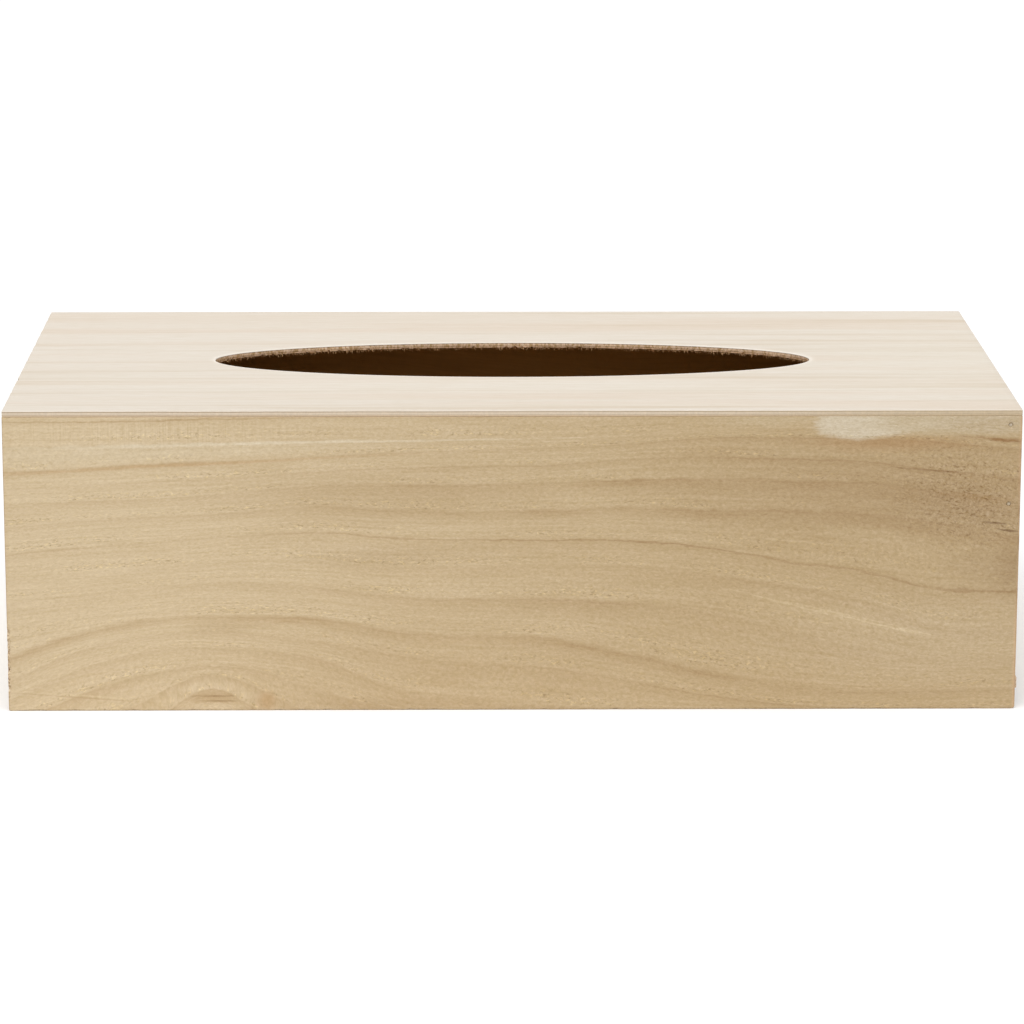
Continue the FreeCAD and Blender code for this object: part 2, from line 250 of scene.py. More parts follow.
class Graph:
    """A node tree being wired: each call adds one node or a few and hands back their output.

    Attributes:
        TINT: How far red, green and blue move where a colour is tinted.
    """

    TINT: ClassVar[Triple] = (0.9, 1.15, 1.75)

    def __init__(self, tree: bpy.types.NodeTree) -> None:
        """Start on a tree."""
        self.tree = tree

    def node(self, kind: str, inputs: dict[str | int, Feed] | None = None,
             **settings: object) -> bpy.types.Node:
        """Add a node.

        Args:
            kind: The node's type.
            inputs: What goes into each socket, a constant or another node's output.
            **settings: The node's own properties.

        Returns:
            The new node.
        """
        made = self.tree.nodes.new(kind)
        for name, value in settings.items():
            setattr(made, name, value)
        for name, value in (inputs or {}).items():
            self.feed(made.inputs[name], value)
        return made

    def feed(self, socket: Socket, value: Feed) -> None:
        """Link an output into a socket, or set a constant on it.

        Args:
            socket: The socket to feed.
            value: The output or the constant.
        """
        if isinstance(value, Socket):
            self.tree.links.new(value, socket)
        else:
            socket.default_value = value[:3] if socket.type == "VECTOR" else value

    def math(self, operation: str, first: Feed, second: Feed = 0.0, third: Feed = 0.0) -> Socket:
        """Work out one number."""
        return self.node("ShaderNodeMath", {0: first, 1: second, 2: third}, operation=operation).outputs[0]

    def vector(self, operation: str, *inputs: Feed) -> Socket:
        """Work out one vector."""
        return self.node("ShaderNodeVectorMath", dict(enumerate(inputs)), operation=operation).outputs[0]

    def step(self, value: Feed, low: Feed, high: Feed, top: float = 1.0) -> Socket:
        """Ease a number from 0 at low to top at high."""
        inputs = {"Value": value, "From Min": low, "From Max": high, "To Min": 0.0, "To Max": top}
        return self.node("ShaderNodeMapRange", inputs, interpolation_type="SMOOTHSTEP").outputs["Result"]

    def split(self, vector: Feed) -> tuple[Socket, ...]:
        """Take a vector apart into its three numbers."""
        return tuple(self.node("ShaderNodeSeparateXYZ", {0: vector}).outputs)

    def scaled(self, vector: Feed, factors: Triple, shift: float = 0.0) -> Socket:
        """Stretch a vector by three factors and add a shift to each part."""
        return self.vector("MULTIPLY_ADD", vector, factors, (shift, shift, shift))

    def grain(self, vector: Feed, kind: Grain, shift: float = 0.0) -> Socket:
        """Make one kind of noise.

        Args:
            vector: Coordinates in millimetres.
            kind: The kind.
            shift: Tells one piece's figure from another's.

        Returns:
            The noise, about 0 to 1 around a half.
        """
        inputs = {"Vector": self.scaled(vector, kind.factors, shift + kind.shift), "Scale": 1.0}
        inputs |= {"Detail": kind.detail, "Roughness": kind.roughness, "Distortion": kind.twist}
        return self.node("ShaderNodeTexNoise", inputs).outputs["Fac"]

    def ramp(self, value: Feed, stops: Stops, stepped: bool = False) -> Socket:
        """Turn a number into a colour by stops.

        Args:
            value: The number, from 0 to 1.
            stops: Places and their colours, in order.
            stepped: Whether a colour holds up to the next stop.

        Returns:
            The colour's output.
        """
        made = self.node("ShaderNodeValToRGB", {"Fac": value})
        band = made.color_ramp
        band.interpolation = "CONSTANT" if stepped else "LINEAR"
        while len(band.elements) < len(stops):
            band.elements.new(1.0)
        for element, (place, colour) in zip(band.elements, stops):
            element.position = place
            element.color = colour
        return made.outputs["Color"]

    def blend(self, share: Feed, under: Feed, over: Feed) -> Socket:
        """Lay a share of one colour over another."""
        return self.node("ShaderNodeMix", {0: share, 6: under, 7: over}, data_type="RGBA").outputs[2]

    def attribute(self, name: str) -> bpy.types.Node:
        """Read one of the piece's own attributes."""
        return self.node("ShaderNodeAttribute", attribute_name=name)

    def place(self) -> Socket:
        """Give the object coordinates in millimetres."""
        coordinates = self.node("ShaderNodeTexCoord").outputs["Object"]
        return self.scaled(coordinates, (1.0 / MM, 1.0 / MM, 1.0 / MM))

    def shade(self, colour: Feed, share: Feed, depth: float) -> Socket:
        """Move a colour's brightness down and up by a depth, as a share runs from 0 to 1."""
        bounds = {"Value": share, "To Min": 1.0 - depth, "To Max": 1.0 + depth}
        return self.vector("MULTIPLY", colour, self.node("ShaderNodeMapRange", bounds).outputs["Result"])

    def tint(self, colour: Feed, share: Feed, depth: float) -> Socket:
        """Lighten or darken a colour by a number around a half, the dark parts turning yellower.

        Args:
            colour: The colour.
            share: The number, 0 to 1.
            depth: How far the brightness moves at 0 and at 1.

        Returns:
            The changed colour's output.
        """
        swing = np.array(self.TINT) * depth
        factor = self.vector("MULTIPLY_ADD", share, tuple(2.0 * swing), tuple(1.0 - swing))
        return self.vector("MULTIPLY", colour, factor)

    def stain(self, share: Feed, colour: Feed, factors: Triple) -> Socket:
        """Multiply a share of a colour by three factors."""
        return self.blend(share, colour, self.vector("MULTIPLY", colour, factors))

    def relief(self, height: Feed, depth: float, strength: float) -> Socket:
        """Roughen the surface by a height, of which 1 stands for a depth in millimetres."""
        inputs = {"Height": height, "Distance": depth * MM, "Strength": strength}
        return self.node("ShaderNodeBump", inputs).outputs["Normal"]


class SurfaceGraph(Graph):
    """The node tree of one finish, with its shader ready."""

    def __init__(self, name: str) -> None:
        """Start a material.

        Args:
            name: The material's name.
        """
        self.material = bpy.data.materials.new(name)
        self.material.use_nodes = True
        super().__init__(self.material.node_tree)
        self.shader = self.tree.nodes["Principled BSDF"]

    def finish(self, **inputs: Feed) -> bpy.types.Material:
        """Feed the shader, with underscores for the spaces in its sockets' names.

        Args:
            **inputs: What goes into each of the shader's sockets.

        Returns:
            The finished material.
        """
        for name, value in inputs.items():
            self.feed(self.shader.inputs[name.replace("_", " ")], value)
        return self.material


class Space(Enum):
    """What a patch on a board is laid out along."""

    FACE = "height on the face"
    YEARS = "growth lines"


class Form(Enum):
    """The outline of a patch."""

    ROUND = "oval"
    POINTED = "diamond"


@dataclass(frozen=True)
class Patch:
    """A blot or streak on a wooden face, with a frayed edge.

    Attributes:
        strength: How much of it shows, 0 to 1.
        along: Its middle along the piece.
        level: Its middle in height, or in years where it follows the growth lines.
        half_along: Half its length.
        half_level: Half its width.
        soft: Share of the size over which its edge fades.
        slope: Rise per length.
        space: What it is laid out along.
        fray: How far its edge strays.
        form: Its outline.
        starts: Where along the piece it starts, with a soft edge.
        OUTER: Where its edge starts to show, as a share of its size.
        FADE: How much of its size the softest edge takes.
        START_FRAY: How far its start strays.
        START_FADE: Half the width of the soft edge at its start.
    """

    OUTER: ClassVar[float] = 1.35
    FADE: ClassVar[float] = 1.3
    START_FRAY: ClassVar[float] = 9.0
    START_FADE: ClassVar[float] = 1.5

    strength: float
    along: float
    level: float
    half_along: float
    half_level: float
    soft: float = 0.8
    slope: float = 0.0
    space: Space = Space.FACE
    fray: float = 0.7
    form: Form = Form.ROUND
    starts: float | None = None

    def share(self, graph: Graph, along: Feed, level: Feed, ragged: Feed) -> Socket:
        """Work out how much of the patch shows at each place.

        Args:
            graph: The finish's nodes.
            along: Distance along the board.
            level: Height, or years.
            ragged: Noise around zero that frays the edge.

        Returns:
            The share's output.
        """
        run = graph.math("SUBTRACT", along, self.along)
        rise = graph.math("SUBTRACT", level, self.level)
        rise = graph.math("MULTIPLY_ADD", run, -self.slope, rise)
        run = graph.math("DIVIDE", run, self.half_along)
        rise = graph.math("DIVIDE", rise, self.half_level)
        if self.form is Form.ROUND:
            square = graph.math("MULTIPLY_ADD", run, run, graph.math("MULTIPLY", rise, rise))
            away = graph.math("SQRT", square)
        else:
            away = graph.math("ADD", graph.math("ABSOLUTE", run), graph.math("ABSOLUTE", rise))
        frayed = graph.math("MULTIPLY_ADD", ragged, self.fray, away)
        inside = graph.step(frayed, self.OUTER, self.OUTER - self.soft * self.FADE, self.strength)
        if self.starts is None:
            return inside
        edge = graph.math("MULTIPLY_ADD", ragged, self.START_FRAY, along)
        started = graph.step(edge, self.starts - self.START_FADE, self.starts + self.START_FADE)
        return graph.math("MULTIPLY", inside, started)


@dataclass(frozen=True)
class Mark:
    """A patch of another colour.

    Attributes:
        colour: Its colour.
        patch: Where it lies.
    """

    colour: Colour
    patch: Patch


@dataclass(frozen=True)
class GrowthLine:
    """The sharp outer edge of one year's growth, with the darker late wood under it.

    Attributes:
        heights: Its height at even stations along the board.
        band: How dark the late wood gets, at the left, in the middle and at the right.
        line: How dark the thin line at the edge is, at the same places.
        fade: Share of the year that is late wood.
        lift: How far it bulges over a knot.
        lift_along: Where the knot lies along the board.
        lift_reach: How far along the bulge reaches.
    """

    heights: tuple[float, ...]
    band: Triple
    line: Triple
    fade: float
    lift: float = 0.0
    lift_along: float = 0.0
    lift_reach: float = 1.0

    def at(self, along: np.ndarray, half_length: float) -> np.ndarray:
        """Give the line's height at places along the board.

        Args:
            along: The places.
            half_length: How far the stations reach each way.

        Returns:
            The heights.
        """
        values = self.heights
        padded = np.array([2.0 * values[0] - values[1], *values, 2.0 * values[-1] - values[-2]])
        place = np.clip(along / (2.0 * half_length) + 0.5, 0.0, 1.0) * (len(values) - 1)
        start = np.minimum(place.astype(int), len(values) - 2)
        part = place - start
        before, here, there, after = (padded[start + step] for step in range(4))
        square = 2.0 * before - 5.0 * here + 4.0 * there - after
        cube = 3.0 * (here - there) + after - before
        run = here + 0.5 * part * (there - before + part * (square + part * cube))
        return run + self.lift * np.exp(-((along - self.lift_along) / self.lift_reach) ** 2)


@dataclass(frozen=True)
class Growth:
    """How the growth lines run over a board's face and through its thickness.

    Attributes:
        half_length: How far the lines run each way from the board's middle.
        lines: The lines, from the heart outwards.
        tilt: How far they climb through the thickness, a millimetre.
        follow: How closely the fibres follow the lines, 0 to 1.
        least_gap: The least distance between two lines.
        open_gap: A year's width outside the lines.
        STATIONS: How many stations a drawn line has.
        LOWEST: Height of the lowest drawn line at its crest.
        CLIMB: How far the highest drawn line lies above it.
        YEAR_STEP: Distance between two years' noise.
    """

    STATIONS: ClassVar[int] = 9
    LOWEST: ClassVar[float] = 6.0
    CLIMB: ClassVar[float] = 76.0
    YEAR_STEP: ClassVar[float] = 9.0

    half_length: float
    lines: tuple[GrowthLine, ...]
    tilt: float
    follow: float = 0.75
    least_gap: float = 0.8
    open_gap: float = 6.0

    @classmethod
    def arched(cls, half_length: float, crest: float, arch: float, sway: float, years: int,
               seed: float) -> "Growth":
        """Draw plain flat-sawn figure: lines that arch over a crest and sway a little.

        Args:
            half_length: Half the board's length.
            crest: Where the arches are highest, along the board.
            arch: How far the lowest line falls away from its crest.
            sway: How far lines stray.
            years: How many lines.
            seed: Tells one board from another.

        Returns:
            The growth.
        """
        stations = np.linspace(-half_length, half_length, cls.STATIONS)
        lines = []
        for year in range(years):
            share = year / (years - 1)
            level = np.full(cls.STATIONS, cls.YEAR_STEP * year)
            spots = np.column_stack([stations, level, np.zeros(cls.STATIONS)])
            fall = arch * (1.0 - 0.8 * share) * np.tanh(((stations - crest) / (0.8 * half_length)) ** 2)
            stray = sway * wander(spots, 42.0, seed)
            tone = 0.55 + 0.8 * wander(spots[:1], 5.0, seed + 3.0)[0]
            heights = tuple(cls.LOWEST + cls.CLIMB * share - fall + stray)
            lines.append(GrowthLine(heights, (tone,) * 3, (0.9 - tone,) * 3, 0.35 + 0.3 * tone))
        return cls(half_length, tuple(lines), 0.5)

    def at(self, points: np.ndarray) -> tuple[np.ndarray, np.ndarray]:
        """Count the years at points of a board and measure across its fibres.

        Args:
            points: Rows of along, depth and height.

        Returns:
            The years, 1 at the first line, and the distance across the fibres.
        """
        along, depth, height = points.T
        levels = [line.at(along, self.half_length) for line in self.lines]
        for number in range(1, len(levels)):
            levels[number] = np.maximum(levels[number], levels[number - 1] + self.least_gap)
        rise = height + self.tilt * depth
        below = np.minimum(rise - levels[0], 0.0)
        above = np.maximum(rise - levels[-1], 0.0)
        years = 1.0 + (below + above) / self.open_gap
        across = np.mean(self.lines[0].heights) + below + above
        for number in range(1, len(levels)):
            part = np.clip((rise - levels[number - 1]) / (levels[number] - levels[number - 1]), 0.0, 1.0)
            years += part
            across += part * (np.mean(self.lines[number].heights) - np.mean(self.lines[number - 1].heights))
        return years, height + self.follow * (across - height)


@dataclass(frozen=True)
class BoardFinish:
    """Bare sanded light hardwood with open pores.

    Attributes:
        name: The material's name.
        growth: The growth whose late wood it shows.
        marks: Patches and streaks, drawn in order.
        pale: Colour at the paler end of the board.
        warm: Colour at the browner end.
        pale_along: Where the board is palest.
        warm_along: Where it is brownest.
        shift: Tells one board's figure from another's.
        coarse: Where the pores are widest.
        combed: Where the saw's teeth have left upright lines.
        late_wood: What late wood multiplies the colour by.
        line_wood: What the thin lines multiply it by.
        pore: What open pores multiply it by.
        fleck: What pale flecks multiply it by.
        inside: Colour of the faces turned inwards, darker and browner to paint the shade inside the box.
        end_wood: Colour of cut ends.
        arris: Colour of the right outer arris: sanded wear with a painted highlight on the rounded edge.
        torn_pale: Palest colour of torn fibres.
        torn_dark: Their darkest.
        crest: Share of a year at which its line lies.
        SLOW: Grain of slow changes in tone and in the run of the growth lines.
        PATCHY: Grain that says where the figure is strong.
        STREAK: Grain of the long streaks.
        QUICK: Grain that frays edges.
        GRIT: Grain of the finest figure.
        SAND: Grain of the widest pores.
        COMB: Grain of the saw's upright lines.
        PORES: Grain of the open pores.
        FLECKS: Grain of the pale flecks.
        DOTS: Grain of cut ends and worn edges.
        RAGS: Grain of torn fibres.
    """

    SLOW: ClassVar[Grain] = Grain((0.025, 0.1, 0.09))
    PATCHY: ClassVar[Grain] = Grain((0.03, 0.16, 0.18), 13.0)
    STREAK: ClassVar[Grain] = Grain((0.035, 1.1, 1.2), 3.0, 3.0, 0.6)
    QUICK: ClassVar[Grain] = Grain((0.16, 0.9, 0.8), 7.0, 3.0, 0.6)
    GRIT: ClassVar[Grain] = Grain((0.9, 2.1, 1.9), 5.0, 3.0, 0.65, 0.8)
    SAND: ClassVar[Grain] = Grain((1.7, 1.9, 1.8), 37.0, 2.0, 0.6, 0.8)
    COMB: ClassVar[Grain] = Grain((2.4, 0.5, 0.07), 31.0, 1.0)
    PORES: ClassVar[Grain] = Grain((0.8, 2.2, 2.0), 11.0, 2.0, 0.6, 0.6)
    FLECKS: ClassVar[Grain] = Grain((0.8, 2.2, 2.0), 17.0, 2.0, 0.6, 0.6)
    DOTS: ClassVar[Grain] = Grain((1.0, 3.0, 3.0), 23.0)
    RAGS: ClassVar[Grain] = Grain((2.2, 2.2, 1.6), 29.0)

    name: str
    growth: Growth
    marks: tuple[Mark, ...]
    pale: Colour
    warm: Colour
    pale_along: float
    warm_along: float
    shift: float
    coarse: Patch = Patch(0.7, 30.0, 40.0, 40.0, 14.0, 1.0)
    combed: Patch = Patch(0.8, -40.0, 60.0, 50.0, 12.0, 1.0)
    late_wood: Triple = (0.7, 0.6, 0.47)
    line_wood: Triple = (0.66, 0.54, 0.4)
    pore: Triple = (0.62, 0.55, 0.46)
    fleck: Triple = (1.18, 1.2, 1.12)
    # Painted shade: the darker, browner colour of the faces inside the box.
    inside: Colour = screen(162, 119, 62)
    end_wood: Colour = screen(196, 166, 130)
    # Sanded wear with a painted highlight on the right outer arris.
    arris: Colour = screen(228, 190, 150)
    torn_pale: Colour = screen(238, 218, 186)
    torn_dark: Colour = screen(120, 84, 50)
    crest: float = 0.86

    def year_stops(self, station: int) -> Stops:
        """Lay a ramp stop for each year, with band, line and fade at a station as the colour's parts."""
        lines = self.growth.lines
        return tuple((number / len(lines), (line.band[station], line.line[station], line.fade, 1.0))
                     for number, line in enumerate(lines))

    def late_tones(self, graph: Graph, years: Feed, along: Feed) -> tuple[Socket, ...]:
        """Work out where late wood, thin lines and open early wood lie.

        Args:
            graph: The finish's nodes.
            years: The years counted at each place, held back so that a line falls at the crest of its year.
            along: Distance along the board.

        Returns:
            The shares of late wood, of thin line and of early wood.
        """
        count = graph.math("DIVIDE", years, float(len(self.growth.lines)))
        left, middle, right = (
            graph.ramp(count, self.year_stops(station), stepped=True) for station in range(3)
        )
        reach = 0.75 * self.growth.half_length
        settings = graph.blend(graph.step(along, -reach, 0.0), left, middle)
        settings = graph.blend(graph.step(along, 0.0, reach), settings, right)
        band, line, fade = graph.node("ShaderNodeSeparateColor", {0: settings}).outputs
        phase = graph.math("FRACT", years)
        rise = graph.step(phase, graph.math("SUBTRACT", self.crest, fade), self.crest)
        fall = graph.step(phase, 1.0, self.crest + 0.02)
        late = graph.math("MULTIPLY", graph.math("MULTIPLY", rise, fall), band)
        sharp = graph.step(phase, self.crest + 0.05, self.crest + 0.01)
        edge = graph.math("MULTIPLY", graph.step(phase, self.crest - 0.05, self.crest), sharp)
        return late, graph.math("MULTIPLY", edge, line), graph.step(phase, 0.45, 0.1)

    def material(self) -> bpy.types.Material:
        """Wire the finish.

        Returns:
            The material.
        """
        graph = SurfaceGraph(self.name)
        grain = graph.attribute("grain").outputs["Vector"]
        along, depth, _ = graph.split(grain)
        height = graph.split(graph.place())[2]
        years = graph.attribute("years").outputs["Fac"]
        slow = graph.grain(grain, self.SLOW, self.shift)
        quick = graph.grain(grain, self.QUICK, self.shift)
        ragged = graph.math("SUBTRACT", quick, 0.5)
        bent = graph.math("MULTIPLY_ADD", graph.math("SUBTRACT", slow, 0.5), 0.2, years)
        bent = graph.math("MULTIPLY_ADD", ragged, 0.2, bent)
        late, thin, early = self.late_tones(graph, graph.math("SUBTRACT", bent, 1.0 - self.crest), along)
        streak = graph.grain(grain, self.STREAK, self.shift)
        grit = graph.grain(grain, self.GRIT, self.shift)
        patchy = graph.grain(grain, self.PATCHY, self.shift)

        drift = graph.math("MULTIPLY_ADD", graph.math("SUBTRACT", slow, 0.5), 60.0, along)
        warm_share = graph.step(drift, self.pale_along, self.warm_along)
        colour = graph.blend(warm_share, self.pale, self.warm)
        vigour = graph.math("ADD", graph.step(patchy, 0.3, 0.7, 0.4), 0.25)
        streaky = graph.math("ADD", graph.step(streak, 0.36, 0.64, 0.9), 0.5)
        late_share = graph.math("MULTIPLY", graph.math("MULTIPLY", late, vigour), streaky)
        colour = graph.stain(late_share, colour, self.late_wood)
        thin_share = graph.math("MULTIPLY", thin, graph.math("ADD", graph.step(patchy, 0.35, 0.6, 0.35), 0.3))
        colour = graph.stain(thin_share, colour, self.line_wood)
        for mark in self.marks:
            level = height if mark.patch.space is Space.FACE else bent
            colour = graph.blend(mark.patch.share(graph, along, level, ragged), colour, mark.colour)

        colour = graph.tint(colour, streak, 0.17)
        colour = graph.blend(warm_share, graph.tint(colour, grit, 0.21), graph.tint(colour, grit, 0.31))
        open_share = self.coarse.share(graph, along, height, ragged)
        sand = graph.grain(grain, self.SAND, self.shift)
        colour = graph.blend(open_share, colour, graph.tint(colour, sand, 0.5))
        comb = graph.grain(grain, self.COMB, self.shift)
        comb_share = self.combed.share(graph, along, height, ragged)
        colour = graph.blend(comb_share, colour, graph.tint(colour, comb, 0.16))
        open_zone = graph.math("MULTIPLY", early, graph.step(patchy, 0.42, 0.58))
        pores = graph.grain(grain, self.PORES, self.shift)
        pore_share = graph.step(pores, 0.55, 0.68)
        pore_ground = graph.math("MULTIPLY_ADD", open_share, 0.9, 0.1)
        pore_zone = graph.math("MULTIPLY_ADD", open_zone, 0.6, pore_ground)
        colour = graph.stain(graph.math("MULTIPLY", pore_share, pore_zone), colour, self.pore)
        flecks = graph.grain(grain, self.FLECKS, self.shift)
        fleck_ground = graph.math("MULTIPLY_ADD", open_share, 0.35, 0.2)
        fleck_zone = graph.math("MULTIPLY_ADD", open_zone, 0.85, fleck_ground)
        fleck_share = graph.math("MULTIPLY", graph.step(flecks, 0.54, 0.68), fleck_zone)
        colour = graph.stain(fleck_share, colour, self.fleck)

        # Painted shade: the faces turned into the box take the darker inside colour, standing in for the
        # shade inside it.
        inner = graph.math("MULTIPLY", graph.step(depth, 2.0, 4.0), 0.92)
        colour = graph.blend(inner, colour, graph.tint(self.inside, streak, 0.3))
        end = graph.attribute("end").outputs["Fac"]
        dots = graph.grain(grain, self.DOTS, self.shift)
        end_colour = graph.tint(graph.stain(late, self.end_wood, self.late_wood), dots, 0.25)
        colour = graph.blend(end, colour, end_colour)
        # The paler arris colour is partly sanded wear and partly a highlight painted on the rounded right
        # edge.
        worn = graph.attribute("worn").outputs["Fac"]
        colour = graph.blend(worn, colour, graph.tint(self.arris, dots, 0.12))
        torn = graph.attribute("torn").outputs["Fac"]
        rags = graph.grain(graph.place(), self.RAGS, self.shift)
        torn_stops = ((0.36, self.torn_dark), (0.47, self.end_wood), (0.62, self.torn_pale))
        colour = graph.blend(torn, colour, graph.ramp(rags, torn_stops))

        height_field = graph.math("MULTIPLY_ADD", pore_share, -0.5, graph.math("ADD", streak, grit))
        normal = graph.relief(height_field, 0.05, 0.2)
        rough = graph.math("MULTIPLY_ADD", late, -0.1, 0.74)
        return graph.finish(Base_Color=colour, Roughness=rough, Normal=normal, Specular_IOR_Level=0.25)


@dataclass(frozen=True)
class SheetFinish:
    """Bare thin plywood: a veneer on each face and the plies showing at sawn edges.

    Attributes:
        name: The material's name.
        face: The face veneer's colour.
        streak: Colour of the broad streaks in it.
        line: Colour of its thin grain lines.
        plies: Colours up a sawn edge, as places from 0 at the back to 1 at the face.
        slot_plies: The same on the slot's wall, where the saw has scorched and fluffed it.
        rim: Pale colour painted round the slot's rim as a highlight.
        bottom: Height of the sheet's back.
        top: Height of its face.
        shift: Tells one sheet's figure from another's.
        marks: Paler and browner zones of the face, laid out from left to right and from front to back.
        edge_marks: The same on the sawn edge, laid out from left to right and up.
        BROAD: Grain of the broad streaks.
        LINES: Grain of the thin lines.
        FIBRE: Grain of single fibres.
        DASHES: Grain of the short dashes between them.
        PORES: Grain of the open pores.
        WAVER: Grain that bends the plies.
        BUNDLES: Grain of fibre bundles on sawn edges.
        TOOL_MARKS: Grain of the marks that the saw has left.
    """

    BROAD: ClassVar[Grain] = Grain((0.007, 0.11, 0.3))
    LINES: ClassVar[Grain] = Grain((0.006, 0.19, 0.4), 4.0, 3.0, 0.6)
    FIBRE: ClassVar[Grain] = Grain((0.05, 0.7, 0.9), 9.0, 3.0, 0.65)
    DASHES: ClassVar[Grain] = Grain((0.16, 3.1, 3.1), 41.0, 2.0, 0.6, 0.4)
    PORES: ClassVar[Grain] = Grain((0.22, 2.3, 2.3), 47.0, 2.0, 0.6, 0.4)
    WAVER: ClassVar[Grain] = Grain((0.09, 0.09, 0.2), 15.0, 3.0)
    BUNDLES: ClassVar[Grain] = Grain((1.4, 1.4, 0.8), 21.0, 3.0, 0.7, 0.5)
    TOOL_MARKS: ClassVar[Grain] = Grain((0.05, 0.05, 0.3), 25.0, 1.0)

    name: str
    face: Colour
    streak: Colour
    line: Colour
    plies: Stops
    slot_plies: Stops
    rim: Colour
    bottom: float
    top: float
    shift: float
    marks: tuple[Mark, ...] = ()
    edge_marks: tuple[Mark, ...] = ()

    def material(self) -> bpy.types.Material:
        """Wire the finish.

        Returns:
            The material.
        """
        graph = SurfaceGraph(self.name)
        place = graph.place()
        along, back, height = graph.split(place)
        broad = graph.grain(place, self.BROAD, self.shift)
        colour = graph.blend(graph.step(broad, 0.4, 0.68), self.face, self.streak)
        lines = graph.grain(place, self.LINES, self.shift)
        colour = graph.blend(graph.step(lines, 0.48, 0.72, 0.5), colour, self.line)
        ragged = graph.math("SUBTRACT", lines, 0.5)
        for mark in self.marks:
            colour = graph.blend(mark.patch.share(graph, along, back, ragged), colour, mark.colour)
        fibre = graph.grain(place, self.FIBRE, self.shift)
        colour = graph.tint(colour, fibre, 0.05)
        dashes = graph.grain(place, self.DASHES, self.shift)
        colour = graph.tint(colour, dashes, 0.1)
        pores = graph.grain(place, self.PORES, self.shift)
        colour = graph.blend(graph.step(pores, 0.62, 0.74, 0.35), colour, self.line)

        sawn = graph.attribute("sawn").outputs["Fac"]
        up = graph.math("DIVIDE", graph.math("SUBTRACT", height, self.bottom), self.top - self.bottom)
        waver = graph.grain(place, self.WAVER, self.shift)
        up = graph.math("MULTIPLY_ADD", graph.math("SUBTRACT", waver, 0.5), 0.12, up)
        edge = graph.ramp(up, self.plies)
        for mark in self.edge_marks:
            edge = graph.blend(mark.patch.share(graph, along, height, ragged), edge, mark.colour)
        slot_wall = graph.ramp(up, self.slot_plies)
        bundles = graph.grain(place, self.BUNDLES, self.shift)
        tool_marks = graph.grain(place, self.TOOL_MARKS, self.shift)
        slot_wall = graph.tint(slot_wall, graph.step(bundles, 0.34, 0.66), 0.3)
        slot_wall = graph.shade(slot_wall, tool_marks, 0.25)
        edge = graph.shade(edge, bundles, 0.16)
        colour = graph.blend(graph.step(sawn, 0.05, 0.45), colour, edge)
        colour = graph.blend(graph.step(sawn, 0.55, 0.95), colour, slot_wall)
        # Painted highlight: the pale rim colour is laid where sawn falls below 0, round the slot.
        colour = graph.blend(graph.step(sawn, 0.0, -1.0), colour, self.rim)

        roughened = graph.math("MULTIPLY", bundles, graph.math("MULTIPLY_ADD", sawn, 2.5, 0.1))
        roughened = graph.math("MAXIMUM", roughened, 0.0)
        normal = graph.relief(graph.math("ADD", fibre, roughened), 0.05, 0.4)
        return graph.finish(Base_Color=colour, Roughness=0.7, Normal=normal, Specular_IOR_Level=0.25)


@dataclass(frozen=True)
class WireFinish:
    """Dull drawn steel wire, cut square.

    Attributes:
        name: The material's name.
        steel: Its colour.
        tarnish: Colour of the duller patches.
        PATCHES: Noise of those patches.
        DRAWN: Noise of the lines from drawing the wire.
    """

    PATCHES: ClassVar[Grain] = Grain((1.6, 1.6, 1.6), 2.0, 3.0)
    DRAWN: ClassVar[Grain] = Grain((9.0, 0.4, 9.0), 6.0)

    name: str
    steel: Colour = screen(200, 186, 164)
    tarnish: Colour = screen(186, 168, 140)

    def material(self) -> bpy.types.Material:
        """Wire the finish.

        Returns:
            The material.
        """
        graph = SurfaceGraph(self.name)
        place = graph.place()
        patches = graph.grain(place, self.PATCHES)
        drawn = graph.grain(place, self.DRAWN)
        colour = graph.blend(graph.step(patches, 0.4, 0.65), self.steel, self.tarnish)
        colour = graph.shade(colour, drawn, 0.15)
        rough = graph.math("MULTIPLY_ADD", patches, 0.3, 0.3)
        normal = graph.relief(drawn, 0.02, 0.4)
        return graph.finish(Base_Color=colour, Metallic=0.25, Roughness=rough, Normal=normal)


@dataclass(frozen=True)
class FibreFinish:
    """Loose fibres and splinters that the saw has left standing.

    Attributes:
        name: The material's name.
        pale: Colour of fresh fibres.
        brown: Colour of scorched ones.
        MIXED: Noise that tells the two apart.
        ALONG: Noise along the fibres.
    """

    MIXED: ClassVar[Grain] = Grain((0.5, 0.5, 0.5), 3.0)
    ALONG: ClassVar[Grain] = Grain((5.0, 5.0, 5.0), 8.0)

    name: str
    pale: Colour
    brown: Colour

    def material(self) -> bpy.types.Material:
        """Wire the finish.

        Returns:
            The material.
        """
        graph = SurfaceGraph(self.name)
        place = graph.place()
        mixed = graph.grain(place, self.MIXED)
        along = graph.grain(place, self.ALONG)
        colour = graph.blend(graph.step(mixed, 0.4, 0.6), self.brown, self.pale)
        colour = graph.shade(colour, along, 0.25)
        rough = graph.math("MULTIPLY_ADD", along, 0.2, 0.7)
        return graph.finish(Base_Color=colour, Roughness=rough, Specular_IOR_Level=0.2)


class Side(Enum):
    """Which wall of the box a board makes, as quarter turns from the front."""

    FRONT = 0
    RIGHT = 1
    BACK = 2
    LEFT = 3


